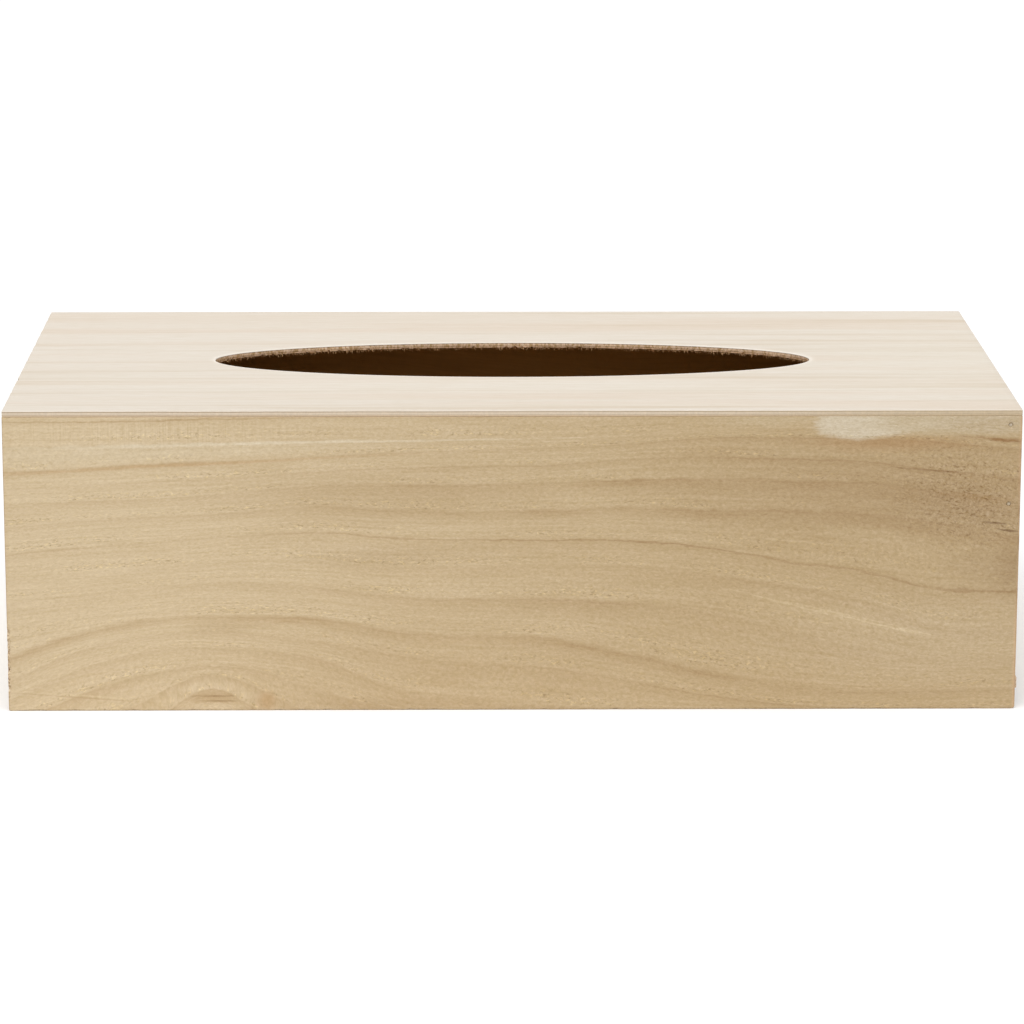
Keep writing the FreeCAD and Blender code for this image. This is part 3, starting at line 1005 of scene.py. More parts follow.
@dataclass
class Board:
    """One board of the box, built lying along its own length and then turned to its side.

    Along runs to the right as seen from outside, depth from the outer face to the inner one.

    Attributes:
        node: The CAD node that it stands for.
        name: The piece's name.
        side: Which wall it makes.
        finish: Its finish.
        ease_left: Rounding of its left end as seen from outside.
        ease_right: Rounding of its right end.
        grooved: Whether the base's groove is cut along its inside.
        open_pins: Ends and numbers of the pins whose holes the sanding has left open.
        nicks: Lowest and highest place of the nicks in its left outer arris, if it has any.
        worn_and_highlit_right: Wear and painted highlight on its right outer arris, 0 to 1, at heights from
            the foot up.
        ease_face: Rounding of its outer arrises.
        ease_inside: Rounding of its inner arrises.
        ease_foot: Rounding of its foot.
        ease_top: Rounding of its upper arrises.
        pitch: Distance between grid lines on its face.
        depth_pitch: Distance between them through its thickness.
        fine: Places of the close grid lines from each end.
        groove_low: Height of the groove's floor.
        groove_high: Height of its roof.
        groove_depth: How deep it is cut.
        pin_inset: How far the pins stand from the board's ends.
        pin_hole: Radius of a pin's hole.
        pin_pit: How deep a hole is left open.
        nick_depth: Depth of the nicks.
        nick_pitch: Distance between grid lines over them.
        tear_up: How far fibres are torn up from the foot.
        tear_in: How far they are torn back from the face there.
    """

    node: str
    name: str
    side: Side
    finish: BoardFinish
    ease_left: float
    ease_right: float
    grooved: bool = True
    open_pins: tuple[tuple[int, int], ...] = ()
    nicks: tuple[float, float] | None = None
    worn_and_highlit_right: tuple[tuple[float, float], ...] = ((0.0, 0.0),)
    ease_face: float = 0.45
    ease_inside: float = 0.2
    ease_foot: float = 0.45
    ease_top: float = 0.12
    pitch: float = 1.4
    depth_pitch: float = 1.2
    fine: tuple[float, ...] = (0.08, 0.18, 0.32, 0.5, 0.75, 1.1)
    groove_low: float = 4.5
    groove_high: float = 7.9
    groove_depth: float = 3.0
    pin_inset: float = 3.0
    pin_hole: float = 0.56
    pin_pit: float = 0.45
    nick_depth: float = 0.55
    nick_pitch: float = 0.45
    tear_up: float = 0.3
    tear_in: float = 0.12

    def __post_init__(self) -> None:
        """Take the board's sizes from its CAD node."""
        low, high = cad_box(self.node)
        across = 0 if self.side in (Side.FRONT, Side.BACK) else 1
        self.half_length = (high - low)[across] / 2.0
        self.thickness = (high - low)[1 - across]
        self.bottom = low[2]
        self.top = high[2]
        self.face_away = max(abs(low[1 - across]), abs(high[1 - across]))

    def pin_places(self) -> list[tuple[float, float]]:
        """Find the open pin holes.

        Returns:
            Their places, along and up the board.
        """
        heights = PinRow.heights("front_left_pins")
        middle = self.half_length - self.pin_inset
        return [(end * middle, heights[number]) for end, number in self.open_pins]

    def lines(self) -> Lines:
        """Lay the grid lines along, through and up the board.

        Returns:
            Lines along the length, the depth and the height.
        """
        places = self.pin_places()
        ring = np.array([-1.0, -0.8, -0.5, 0.0, 0.5, 0.8, 1.0]) * self.pin_hole * 1.15
        pins_along = tuple(place + step for place, _ in places for step in ring)
        pins_up = tuple(level + step for _, level in places for step in ring)
        nicks = tuple(np.arange(*self.nicks, self.nick_pitch)) if self.nicks else ()
        groove = (self.groove_low, self.groove_high) if self.grooved else ()
        floor = (self.thickness - self.groove_depth,) if self.grooved else ()
        along = graded(-self.half_length, self.half_length, self.pitch, self.fine, pins_along)
        depth = graded(0.0, self.thickness, self.depth_pitch, self.fine, floor)
        up = graded(self.bottom, self.top, self.pitch, self.fine, groove + pins_up + nicks)
        return along, depth, up

    def ease(self, points: np.ndarray) -> np.ndarray:
        """Round the board's arrises.

        Args:
            points: Rows of along, depth and height.

        Returns:
            The moved points.
        """
        low = np.array([-self.half_length, 0.0, self.bottom])
        high = np.array([self.half_length, self.thickness, self.top])
        low_ease = (self.ease_left, self.ease_face, self.ease_foot)
        high_ease = (self.ease_right, self.ease_inside, self.ease_top)
        return rounded(points, low, high, low_ease, high_ease, 1.0 + 0.3 * wander(points, 9.0, 5.0))

    def distress(self, points: np.ndarray, rest: np.ndarray) -> tuple[np.ndarray, np.ndarray]:
        """Nick the left arris, tear the foot and sink the pins' holes.

        Args:
            points: The eased points.
            rest: The same points before easing.

        Returns:
            The moved points, and how torn the wood is at each.
        """
        along, depth, height = rest.T
        points = points.copy()
        still = np.zeros(len(rest))
        torn = still
        if self.nicks:
            low, high = self.nicks
            inside = smoothstep(low - 1.0, low + 3.0, height) * smoothstep(high + 1.0, high - 8.0, height)
            rag = wander(np.column_stack([still, still, height]), 1.7, 3.0)
            to_arris = np.maximum(along + self.half_length, depth)
            push = self.nick_depth * (smoothstep(0.0, 0.45, rag) * inside) * smoothstep(1.0, 0.0, to_arris)
            points[:, :2] += push[:, None]
            torn = inside * smoothstep(0.9, 0.2, to_arris)
        at_foot = smoothstep(0.6, 0.0, np.maximum(height - self.bottom, depth))
        tear = smoothstep(-0.1, 0.7, wander(np.column_stack([along, still, still]), 3.1, 8.0))
        points[:, 2] += self.tear_up * tear * at_foot
        points[:, 1] += self.tear_in * tear * at_foot
        torn = np.maximum(torn, 0.8 * at_foot * (0.3 + 0.7 * tear))
        for place, level in self.pin_places():
            away = np.hypot(along - place, height - level)
            pit = smoothstep(self.pin_hole * 1.12, self.pin_hole * 0.92, away) * (depth < 0.05)
            points[:, 1] += self.pin_pit * pit
        return points, torn

    def turned(self, points: np.ndarray) -> np.ndarray:
        """Turn points from the board's own axes to the box's.

        Args:
            points: Rows of along, depth and height.

        Returns:
            The same points in the shared frame.
        """
        along, depth, height = points.T
        out = depth - self.face_away
        quarter = self.side.value * math.pi / 2.0
        cosine = round(math.cos(quarter))
        sine = round(math.sin(quarter))
        return np.column_stack([along * cosine - out * sine, along * sine + out * cosine, height])

    def build(self) -> bpy.types.Object:
        """Mesh the board, dress it and set it on the frame.

        Returns:
            The finished piece.
        """
        lines = self.lines()
        middles = [(axis[:-1] + axis[1:]) / 2.0 for axis in lines]
        solid = np.ones([len(axis) for axis in middles], dtype=bool)
        if self.grooved:
            deep = middles[1] > self.thickness - self.groove_depth
            level = (middles[2] > self.groove_low) & (middles[2] < self.groove_high)
            solid[:, deep[:, None] & level[None, :]] = False
        rest, faces = lattice_shell(lines, solid)
        points, torn = self.distress(self.ease(rest), rest)
        piece = make_piece(self.name, self.turned(points), faces)
        years, across = self.finish.growth.at(rest)
        note(piece, "grain", np.column_stack([rest[:, 0], rest[:, 1], across]))
        note(piece, "years", years)
        to_end = self.half_length - np.abs(rest[:, 0])
        note(piece, "end", smoothstep(0.35, 0.02, to_end))
        # The paler right arris stands for sanded wear and a highlight painted on the rounded edge, set by
        # height.
        to_arris = np.maximum(self.half_length - rest[:, 0], rest[:, 1])
        worn = np.interp(rest[:, 2], *zip(*self.worn_and_highlit_right))
        note(piece, "worn", worn * smoothstep(1.0, 0.5, to_arris))
        note(piece, "torn", torn)
        piece.data.materials.append(self.finish.material())
        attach(piece, "cover")
        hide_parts(self.node)
        return piece


@dataclass
class TopSheet:
    """The thin plywood sheet on top, with its oval slot.

    Attributes:
        finish: Its finish.
        node: The CAD node that it stands for.
        name: The piece's name.
        slot_length: Length of the slot.
        slot_width: Width of the slot.
        slot_right: How far the slot lies to the right of the middle.
        slot_forward: How far it lies to the front.
        rim_ease: Easing of the slot's upper rim.
        edge_ease: Easing of the sheet's upper outer edge.
        corner: Rounding of the sheet's corners.
        fray_depth: How deep the fibres are broken out along its left end.
        back_inset: How far its back's outer edge is worn in.
        back_setback: How far the slot is torn back on its back.
        long_steps: How many steps its front and back edges have.
        short_steps: How many steps its ends have.
        corner_steps: How many points a corner has.
        face_steps: How many loops its face has.
        WALL_SHARES: Places of the loops up a sawn edge, from 0 at the back to 1 at the face.
        PLY_DENTS: How deep the softer plies are worn in, by their place.
    """

    WALL_SHARES: ClassVar[tuple[float, ...]] = (0.0, 0.12, 0.24, 0.3, 0.36, 0.5, 0.62, 0.7, 0.76, 0.82)
    PLY_DENTS: ClassVar[dict[float, float]] = {0.3: 0.07, 0.76: 0.05}

    finish: SheetFinish
    node: str = "top_panel"
    name: str = "slotted_top_sheet"
    slot_length: float = 160.2
    slot_width: float = 48.7
    slot_right: float = 0.9
    slot_forward: float = 1.5
    rim_ease: float = 0.22
    edge_ease: float = 0.25
    corner: float = 0.5
    fray_depth: float = 0.55
    back_inset: float = 0.12
    back_setback: float = 0.6
    long_steps: int = 260
    short_steps: int = 230
    corner_steps: int = 5
    face_steps: int = 26

    def __post_init__(self) -> None:
        """Take the sheet's sizes from its CAD node."""
        low, high = cad_box(self.node)
        self.half_length = high[0]
        self.half_depth = high[1]
        self.bottom = low[2]
        self.top = high[2]

    def outline(self, inset: float) -> np.ndarray:
        """Go round the sheet's outer edge.

        Args:
            inset: Distance inside the edge.

        Returns:
            Points round the rounded rectangle, anticlockwise from the right.
        """
        half_length = self.half_length - inset
        half_depth = self.half_depth - inset
        radius = max(self.corner - inset, 0.05)
        straight = np.array([half_length - radius, half_depth - radius])
        corners = [(1, 1), (-1, 1), (-1, -1), (1, -1)]
        path = []
        for number, signs in enumerate(corners):
            centre = straight * signs
            angles = np.linspace(0.0, math.pi / 2.0, self.corner_steps) + number * math.pi / 2.0
            arc = centre + radius * np.column_stack([np.cos(angles), np.sin(angles)])
            following = straight * corners[(number + 1) % 4]
            turn = (number + 1) * math.pi / 2.0
            start = following + radius * np.array([math.cos(turn), math.sin(turn)])
            steps = self.long_steps if number % 2 == 0 else self.short_steps
            run = np.linspace(arc[-1], start, steps + 1)[1:-1]
            path += [arc, run]
        return np.concatenate(path)

    def slot_rim(self, setback: float) -> np.ndarray:
        """Go round the slot.

        Args:
            setback: Distance back from the slot's edge into the wood.

        Returns:
            Points round the oval, in step with the outline.
        """
        outer = self.outline(0.0) / np.array([self.half_length, self.half_depth])
        angle = np.arctan2(outer[:, 1], outer[:, 0])
        half = np.array([self.slot_length, self.slot_width]) / 2.0
        rim = half * np.column_stack([np.cos(angle), np.sin(angle)])
        away = rim / half**2
        away /= np.linalg.norm(away, axis=1)[:, None]
        return rim + setback * away + np.array([self.slot_right, -self.slot_forward])

    def loops(self) -> tuple[np.ndarray, np.ndarray]:
        """Lay loops round the sheet's section: up the slot's wall, over the face, down the edge and back.

        Returns:
            The loops' points, and how sawn each loop is: 1 on the slot's wall, -1 where its rim's highlight
            is painted.
        """
        thickness = self.top - self.bottom
        loops = []
        sawn = []

        def add(points: np.ndarray, height: float | np.ndarray, share: float) -> None:
            """Add one loop at a height."""
            loops.append(np.column_stack([points, np.broadcast_to(height, len(points))]))
            sawn.append(share)

        rim = self.slot_rim(0.0)
        away = self.slot_rim(1.0) - rim
        rag = np.column_stack([rim, np.zeros(len(rim))])
        fuzz = wander(rag, 0.9, 2.0)
        slow = wander(rag, 7.0, 4.0)
        for share in self.WALL_SHARES:
            rough = 0.03 + 0.1 * fuzz + 0.06 * wander(rag + [0, 0, 5.0 * share], 1.3, 6.0)
            setback = np.clip(rough + self.PLY_DENTS.get(share, 0.0), 0.0, None)
            tear = np.maximum(0.0, 0.9 * fuzz + 0.2 * slow) * max(0.0, 1.0 - share / 0.24)
            add(rim + away * setback[:, None], self.bottom + share * thickness + tear, 1.0)
        ease = self.rim_ease
        # Loops below 0 carry the highlight painted round the slot's rim, fading out onto the face.
        for setback, drop, share in (
            (0.0, ease + 0.015, 1.0),
            (0.0, ease, -1.0),
            (ease * 0.3, ease * 0.3, -1.0),
            (ease, 0.0, -1.0),
            (ease + 0.5, 0.0, -0.62),
            (ease + 1.2, 0.0, -0.28),
        ):
            add(self.slot_rim(setback), self.top - drop, share)
        inner = self.slot_rim(ease + 2.2)
        outer = self.outline(self.edge_ease)
        shares = smoothstep(-0.25, 1.25, np.linspace(0.0, 1.0, self.face_steps))
        for part in (shares - shares[0]) / (1.0 - 2.0 * shares[0]):
            add(inner + (outer - inner) * part, self.top, 0.0)
        add(self.outline(self.edge_ease * 0.3), self.top - self.edge_ease * 0.3, 0.1)
        edge = self.outline(0.0)
        outward = edge - self.outline(1.0)
        outward /= np.linalg.norm(outward, axis=1)[:, None]
        for share in reversed(self.WALL_SHARES[1:]):
            rough = 0.03 + 0.03 * wander(np.column_stack([edge, np.full(len(edge), 9.0 * share)]), 1.6, 9.0)
            dent = self.PLY_DENTS.get(share, 0.0) + rough
            add(edge - outward * dent[:, None], self.bottom + share * thickness, 0.5)
        base = self.outline(self.back_inset)
        under = self.slot_rim(self.back_setback)
        add(base, self.bottom, 0.5)
        for part in (0.75, 0.5, 0.25, 0.05):
            add(under + (base - under) * part, self.bottom, 0.0)
        return np.array(loops), np.array(sawn)

    def fray(self, points: np.ndarray) -> np.ndarray:
        """Break the fibres out along the left end, where the saw has cut across them.

        Args:
            points: The sheet's points.

        Returns:
            The moved points.
        """
        moved = points.copy()
        near = moved[:, 0] < 1.0 - self.half_length
        spots = points[near] * [0.0, 1.0, 0.3]
        broken = smoothstep(-0.1, 0.6, wander(spots, 1.2, 11.0)) * (0.6 + 0.6 * wander(spots, 11.0, 12.0))
        share = smoothstep(0.9, 0.1, points[near, 0] + self.half_length)
        moved[near, 0] += self.fray_depth * np.clip(broken, 0.0, 1.0) * share
        return moved

    def build(self) -> bpy.types.Object:
        """Mesh the sheet, dress it and set it on the frame.

        Returns:
            The finished piece.
        """
        loops, sawn = self.loops()
        rows, columns, _ = loops.shape
        numbers = np.arange(rows * columns).reshape(rows, columns)
        after = np.roll(numbers, -1, axis=0)
        faces = np.stack([numbers, np.roll(numbers, -1, axis=1), np.roll(after, -1, axis=1), after], axis=-1)
        piece = make_piece(self.name, self.fray(loops.reshape(-1, 3)), faces.reshape(-1, 4)[:, ::-1])
        note(piece, "sawn", np.repeat(sawn, columns))
        piece.data.materials.append(self.finish.material())
        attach(piece, "cover")
        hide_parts(self.node)
        return piece


@dataclass
class BaseSheet:
    """The plywood base that slides in the grooves, its right-hand end standing proud of the box.

    Attributes:
        finish: Its finish.
        node: The CAD node that it stands for.
        name: The piece's name.
        bevel: Easing of its edges.
        end_bevel: Easing of the end that is pulled.
        pitch: Distance between grid lines on its face.
        ply_pitch: Distance between them through its thickness.
        fine: Places of the close grid lines from each end.
    """

    finish: SheetFinish
    node: str = "base_panel"
    name: str = "sliding_base_sheet"
    bevel: float = 0.15
    end_bevel: float = 0.55
    pitch: float = 2.0
    ply_pitch: float = 0.4
    fine: tuple[float, ...] = (0.08, 0.18, 0.32, 0.5, 0.8)

    def build(self) -> bpy.types.Object:
        """Mesh the base, dress it and set it on the frame.

        Returns:
            The finished piece.
        """
        low, high = cad_box(self.node)
        plies = tuple(low[2] + share * (high[2] - low[2]) for share in (0.3, 0.36, 0.64, 0.7))
        lines = (
            graded(low[0], high[0], self.pitch, self.fine),
            graded(low[1], high[1], self.pitch, self.fine),
            graded(low[2], high[2], self.ply_pitch, self.fine, plies),
        )
        solid = np.ones([len(axis) - 1 for axis in lines], dtype=bool)
        rest, faces = lattice_shell(lines, solid)
        low_ease = (self.bevel, self.bevel, self.bevel)
        high_ease = (self.end_bevel, self.bevel, self.bevel * 2.0)
        points = rounded(rest, low, high, low_ease, high_ease, 1.0 + 0.25 * wander(rest, 6.0, 1.0))
        to_edge = np.minimum(rest - low, high - rest)[:, :2].min(axis=1)
        sawn_edge = smoothstep(0.3, 0.02, to_edge)
        rough = np.clip(0.04 + 0.05 * wander(rest, 1.4, 7.0), 0.0, None) * sawn_edge
        points[:, :2] -= np.sign(points[:, :2]) * rough[:, None]
        piece = make_piece(self.name, points, faces)
        note(piece, "sawn", 0.5 * sawn_edge)
        piece.data.materials.append(self.finish.material())
        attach(piece, "base")
        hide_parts(self.node)
        return piece


class FormGraph(Graph):
    """A geometry node tree with named inputs, run once on a mesh and kept as a plain mesh.

    Attributes:
        KINDS: The socket for each kind of input.
    """

    KINDS: ClassVar[dict[type, str]] = {
        int: "NodeSocketInt",
        float: "NodeSocketFloat",
        bpy.types.Material: "NodeSocketMaterial",
    }

    def __init__(self, name: str, **sizes: int | float | bpy.types.Material) -> None:
        """Start a tree with an input for each size.

        Args:
            name: The tree's name.
            **sizes: The inputs and what they are set to.
        """
        super().__init__(bpy.data.node_groups.new(name, "GeometryNodeTree"))
        self.sizes = sizes
        self.tree.interface.new_socket("Geometry", in_out="INPUT", socket_type="NodeSocketGeometry")
        self.tree.interface.new_socket("Geometry", in_out="OUTPUT", socket_type="NodeSocketGeometry")
        for size, value in sizes.items():
            self.tree.interface.new_socket(size, in_out="INPUT", socket_type=self.KINDS[type(value)])
        self.start = self.node("NodeGroupInput").outputs

    def drawn(self, low: Triple, high: Triple) -> Socket:
        """Draw a random vector for each point by the tree's seed."""
        inputs = {0: low, 1: high, "Seed": self.start["Seed"]}
        return self.node("FunctionNodeRandomValue", inputs, data_type="FLOAT_VECTOR").outputs[0]

    def close(self, instances: Feed) -> None:
        """End the tree: make the copies real and give them their material.

        Args:
            instances: The copies.
        """
        real = self.node("GeometryNodeRealizeInstances", {"Geometry": instances}).outputs[0]
        dressed = self.node("GeometryNodeSetMaterial", {"Geometry": real, "Material": self.start["Material"]})
        self.node("NodeGroupOutput", {"Geometry": dressed.outputs[0]})

    def run(self, piece: bpy.types.Object) -> bpy.types.Object:
        """Run the tree on a piece and keep the result as its mesh.

        Args:
            piece: The piece whose mesh goes into the tree.

        Returns:
            The same piece with the new mesh.
        """
        modifier = piece.modifiers.new("form", "NODES")
        modifier.node_group = self.tree
        for item in self.tree.interface.items_tree:
            if item.in_out == "INPUT" and item.name in self.sizes:
                modifier[item.identifier] = self.sizes[item.name]
        graph = bpy.context.evaluated_depsgraph_get()
        mesh = bpy.data.meshes.new_from_object(piece.evaluated_get(graph))
        piece.modifiers.remove(modifier)
        piece.data = mesh
        mesh.name = piece.name
        return piece


@dataclass
class PinRow:
    """One row of steel pins at a corner, driven through a long board into an end board.

    Attributes:
        node: The CAD node that it stands for.
        finish: Its finish.
        count: How many pins.
        radius: A pin's radius.
        head_ease: Easing of the cut head.
        tip_length: Length of the ground tip.
        tip_radius: Radius at the tip's end.
        sides: How many sides its round has.
    """

    node: str
    finish: WireFinish
    count: int = 4
    radius: float = 0.5
    head_ease: float = 0.1
    tip_length: float = 1.2
    tip_radius: float = 0.3
    sides: int = 24

    @classmethod
    def heights(cls, node: str) -> list[float]:
        """Work out the heights of a row's pins from its CAD node, from the lowest."""
        low, high = cad_box(node)
        return np.linspace(low[2] + cls.radius, high[2] - cls.radius, cls.count).tolist()

    def pin(self, place: float, head: float, tip: float,
            height: float) -> tuple[np.ndarray, list[list[int]]]:
        """Turn one pin as a closed mesh.

        Args:
            place: Where it stands along the box.
            head: Where its head is, front to back.
            tip: Where its tip is.
            height: Its height.

        Returns:
            Its vertices and faces, with a fan of triangles at each end.
        """
        inward = math.copysign(1.0, tip - head)
        section = [
            (head, self.radius - self.head_ease),
            (head + inward * self.head_ease, self.radius),
            (tip - inward * self.tip_length, self.radius),
            (tip, self.tip_radius),
        ]
        angles = np.linspace(0.0, math.tau, self.sides, endpoint=False)
        rings = [
            np.column_stack([place + r * np.cos(angles), np.full(self.sides, y), height + r * np.sin(angles)])
            for y, r in section
        ]
        ends = np.array([[place, head, height], [place, tip, height]])
        points = np.concatenate(rings + [ends])
        head_centre = len(points) - 2
        faces = []
        for ring in range(len(rings) - 1):
            for corner in range(self.sides):
                following = (corner + 1) % self.sides
                here = ring * self.sides
                there = here + self.sides
                faces.append([here + corner, here + following, there + following, there + corner])
        last = (len(rings) - 1) * self.sides
        for corner in range(self.sides):
            following = (corner + 1) % self.sides
            faces.append([following, corner, head_centre])
            faces.append([last + corner, last + following, head_centre + 1])
        if inward > 0.0:
            faces = [face[::-1] for face in faces]
        return points, faces

    def build(self) -> bpy.types.Object:
        """Make the row, dress it and set it on the frame.

        Returns:
            The finished piece.
        """
        low, high = cad_box(self.node)
        head, tip = (low[1], high[1]) if low[1] < 0.0 else (high[1], low[1])
        heights = self.heights(self.node)
        points, faces = self.pin((low[0] + high[0]) / 2.0, head, tip, heights[0])
        mesh = bpy.data.meshes.new(self.node)
        mesh.from_pydata((points * MM).tolist(), [], faces)
        piece = set_out(self.node.replace("pins", "pin_row"), mesh)
        step = (heights[-1] - heights[0]) / (self.count - 1) * MM
        tree = FormGraph("pin_row", Count=self.count, Step=step, Material=self.finish.material())
        offset = tree.node("ShaderNodeCombineXYZ", {"Z": tree.start["Step"]}).outputs[0]
        places = {"Count": tree.start["Count"], "Offset": offset}
        line = tree.node("GeometryNodeMeshLine", places, mode="OFFSET").outputs[0]
        copies = {"Points": line, "Instance": tree.start["Geometry"]}
        tree.close(tree.node("GeometryNodeInstanceOnPoints", copies).outputs[0])
        tree.run(piece)
        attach(piece, "cover")
        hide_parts(self.node)
        return piece


@dataclass
class SlotFibres:
    """Loose fibres that the saw has left standing round the slot's lower edge.

    Attributes:
        sheet: The sheet with the slot.
        finish: Their finish.
        name: The piece's name.
        setback: How far back from the slot's edge they are rooted.
        lift: How far above the sheet's back they are rooted.
        inward: How much they lean into the slot.
        down: How much they hang down.
        count: How many places round the slot.
        kept: Share of the places that have a fibre.
        length: Length of a middling fibre.
        thickness: Its thickness at the root.
        spread: How far fibres stray from their lean.
        seed: Fixes the random draws.
    """

    sheet: TopSheet
    finish: FibreFinish
    name: str = "slot_rim_fibres"
    setback: float = 0.2
    lift: float = 0.15
    inward: float = 0.3
    down: float = 0.9
    count: int = 1100
    kept: float = 0.8
    length: float = 0.8
    thickness: float = 0.15
    spread: float = 0.5
    seed: int = 4

    def ring(self) -> bpy.types.Object:
        """Lay the ring that the fibres are rooted on, with their lean noted on it.

        Returns:
            The ring, of edges only.
        """
        rim = self.sheet.slot_rim(self.setback)
        roots = np.column_stack([rim, np.full(len(rim), self.sheet.bottom + self.lift)])
        numbers = np.arange(len(rim))
        edges = np.column_stack([numbers, np.roll(numbers, -1)])
        mesh = bpy.data.meshes.new(self.name)
        mesh.from_pydata((roots * MM).tolist(), edges.tolist(), [])
        ring = set_out(self.name, mesh)
        into_slot = self.sheet.slot_rim(0.0) - self.sheet.slot_rim(1.0)
        note(ring, "lean", np.column_stack([into_slot * self.inward, np.full(len(rim), -self.down)]))
        return ring

    def build(self) -> bpy.types.Object:
        """Grow the fibres, dress them and set them on the frame.

        Returns:
            The finished piece.
        """
        piece = self.ring()
        tree = FormGraph(
            self.name,
            Count=self.count,
            Kept=self.kept,
            Length=self.length * MM,
            Thickness=self.thickness * MM,
            Spread=self.spread,
            Seed=self.seed,
            Material=self.finish.material(),
        )
        start = tree.start
        path = tree.node("GeometryNodeMeshToCurve", {"Mesh": start["Geometry"]}).outputs[0]
        spots = tree.node("GeometryNodeCurveToPoints", {"Curve": path, "Count": start["Count"]}, mode="COUNT")
        chance = {"Probability": start["Kept"], "Seed": start["Seed"]}
        chosen = tree.node("FunctionNodeRandomValue", chance, data_type="BOOLEAN").outputs[3]
        stray = tree.vector("MULTIPLY", tree.drawn((-1.0, -1.0, -1.0), (1.0, 1.0, 1.0)), start["Spread"])
        lean = tree.node("GeometryNodeInputNamedAttribute", {"Name": "lean"}, data_type="FLOAT_VECTOR")
        heading = tree.vector("ADD", lean.outputs[0], stray)
        turn = tree.node("FunctionNodeAlignRotationToVector", {"Vector": heading}, axis="Z").outputs[0]
        cone = {"Radius Top": 0.0, "Radius Bottom": start["Thickness"], "Depth": start["Length"]}
        fibre = tree.node("GeometryNodeMeshCone", cone | {"Vertices": 4}).outputs["Mesh"]
        copies = {"Points": spots.outputs["Points"], "Selection": chosen, "Instance": fibre}
        copies |= {"Rotation": turn, "Scale": tree.drawn((0.5, 0.5, 0.3), (1.2, 1.2, 1.5))}
        tree.close(tree.node("GeometryNodeInstanceOnPoints", copies).outputs[0])
        tree.run(piece)
        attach(piece, "cover")
        return piece


@dataclass(frozen=True)
class Studio:
    """The pale floor, the soft light and the camera at the photograph's viewpoint.

    Attributes:
        floor_width: Width of the floor.
        floor_white: Colour of the floor.
        floor_lift: White that the floor adds for the camera.
        sky: Strength of the light from all round.
        key: Strength of the soft lamp overhead.
        key_height: Its angle above the horizon, in degrees.
        key_left: Its angle to the left of the camera, in degrees.
        key_size: How wide the lamp looks, in degrees.
        camera_at: Where the camera stands, in millimetres.
        camera_down: How far it looks down, in degrees.
        camera_turn: How far it is turned, in degrees.
        camera_roll: How far it is tipped, in degrees.
        focal_pixels: Its focal length in the photograph's pixels.
        sensor: Its sensor's width, in millimetres.
    """

    floor_width: float = 16000.0
    floor_white: Colour = (0.86, 0.86, 0.86, 1.0)
    floor_lift: float = 0.2
    sky: float = 0.42
    key: float = 2.05
    key_height: float = 66.0
    key_left: float = 12.0
    key_size: float = 55.0
    camera_at: Triple = (-16.07, -1133.29, 298.8)
    camera_down: float = 13.04
    camera_turn: float = -0.854
    camera_roll: float = 0.087
    focal_pixels: float = 4268.0
    sensor: float = 36.0

    def seen(self, graph: Graph) -> Socket:
        """Tell rays that show a surface from rays that only light others.

        Args:
            graph: The nodes to add to.

        Returns:
            1 for camera, glossy and transmission rays, and 0 for others.
        """
        path = graph.node("ShaderNodeLightPath").outputs
        shown = graph.math("MAXIMUM", path["Is Camera Ray"], path["Is Glossy Ray"])
        return graph.math("MAXIMUM", shown, path["Is Transmission Ray"])

    def lay_floor(self) -> None:
        """Lay the pale floor under the box."""
        half = self.floor_width / 2.0
        corners = np.array([[-half, -half, 0.0], [half, -half, 0.0], [half, half, 0.0], [-half, half, 0.0]])
        floor = make_piece("studio_floor", corners, np.array([[0, 1, 2, 3]]), smooth=False)
        graph = SurfaceGraph("studio_floor")
        lift = graph.math("MULTIPLY", self.seen(graph), self.floor_lift)
        floor.data.materials.append(graph.finish(
            Base_Color=self.floor_white,
            Roughness=1.0,
            Specular_IOR_Level=0.0,
            Emission_Color=(1.0, 1.0, 1.0, 1.0),
            Emission_Strength=lift,
        ))

    def light(self) -> None:
        """Hang the soft lamp and light the sky."""
        lamp = bpy.data.lights.new("soft_key", "SUN")
        lamp.energy = self.key
        lamp.angle = math.radians(self.key_size)
        hung = set_out("soft_key", lamp)
        hung.rotation_euler = (math.radians(90.0 - self.key_height), 0.0, math.radians(-self.key_left))
        world = bpy.data.worlds.new("studio_sky")
        world.use_nodes = True
        graph = Graph(world.node_tree)
        sockets = world.node_tree.nodes["Background"].inputs
        graph.feed(sockets["Color"], (1.0, 1.0, 1.0, 1.0))
        strength = graph.math("MULTIPLY_ADD", self.seen(graph), 1.0 - self.sky, self.sky)
        graph.feed(sockets["Strength"], strength)
        bpy.context.scene.world = world

    def set_camera(self) -> None:
        """Stand the camera where the photograph was taken."""
        data = bpy.data.cameras.new("photo_camera")
        data.sensor_width = self.sensor
        data.lens = self.focal_pixels / PHOTO_PIXELS * self.sensor
        data.clip_start = 0.01
        data.clip_end = 100.0
        camera = set_out("photo_camera", data)
        turn = Matrix.Rotation(math.radians(self.camera_turn), 4, "Z")
        down = Matrix.Rotation(math.radians(90.0 - self.camera_down), 4, "X")
        roll = Matrix.Rotation(math.radians(self.camera_roll), 4, "Z")
        camera.matrix_world = Matrix.Translation(Vector(self.camera_at) * MM) @ turn @ down @ roll
        bpy.context.scene.camera = camera
        bpy.context.scene.view_settings.view_transform = "Standard"


BURIED = (-4.0,) * 14

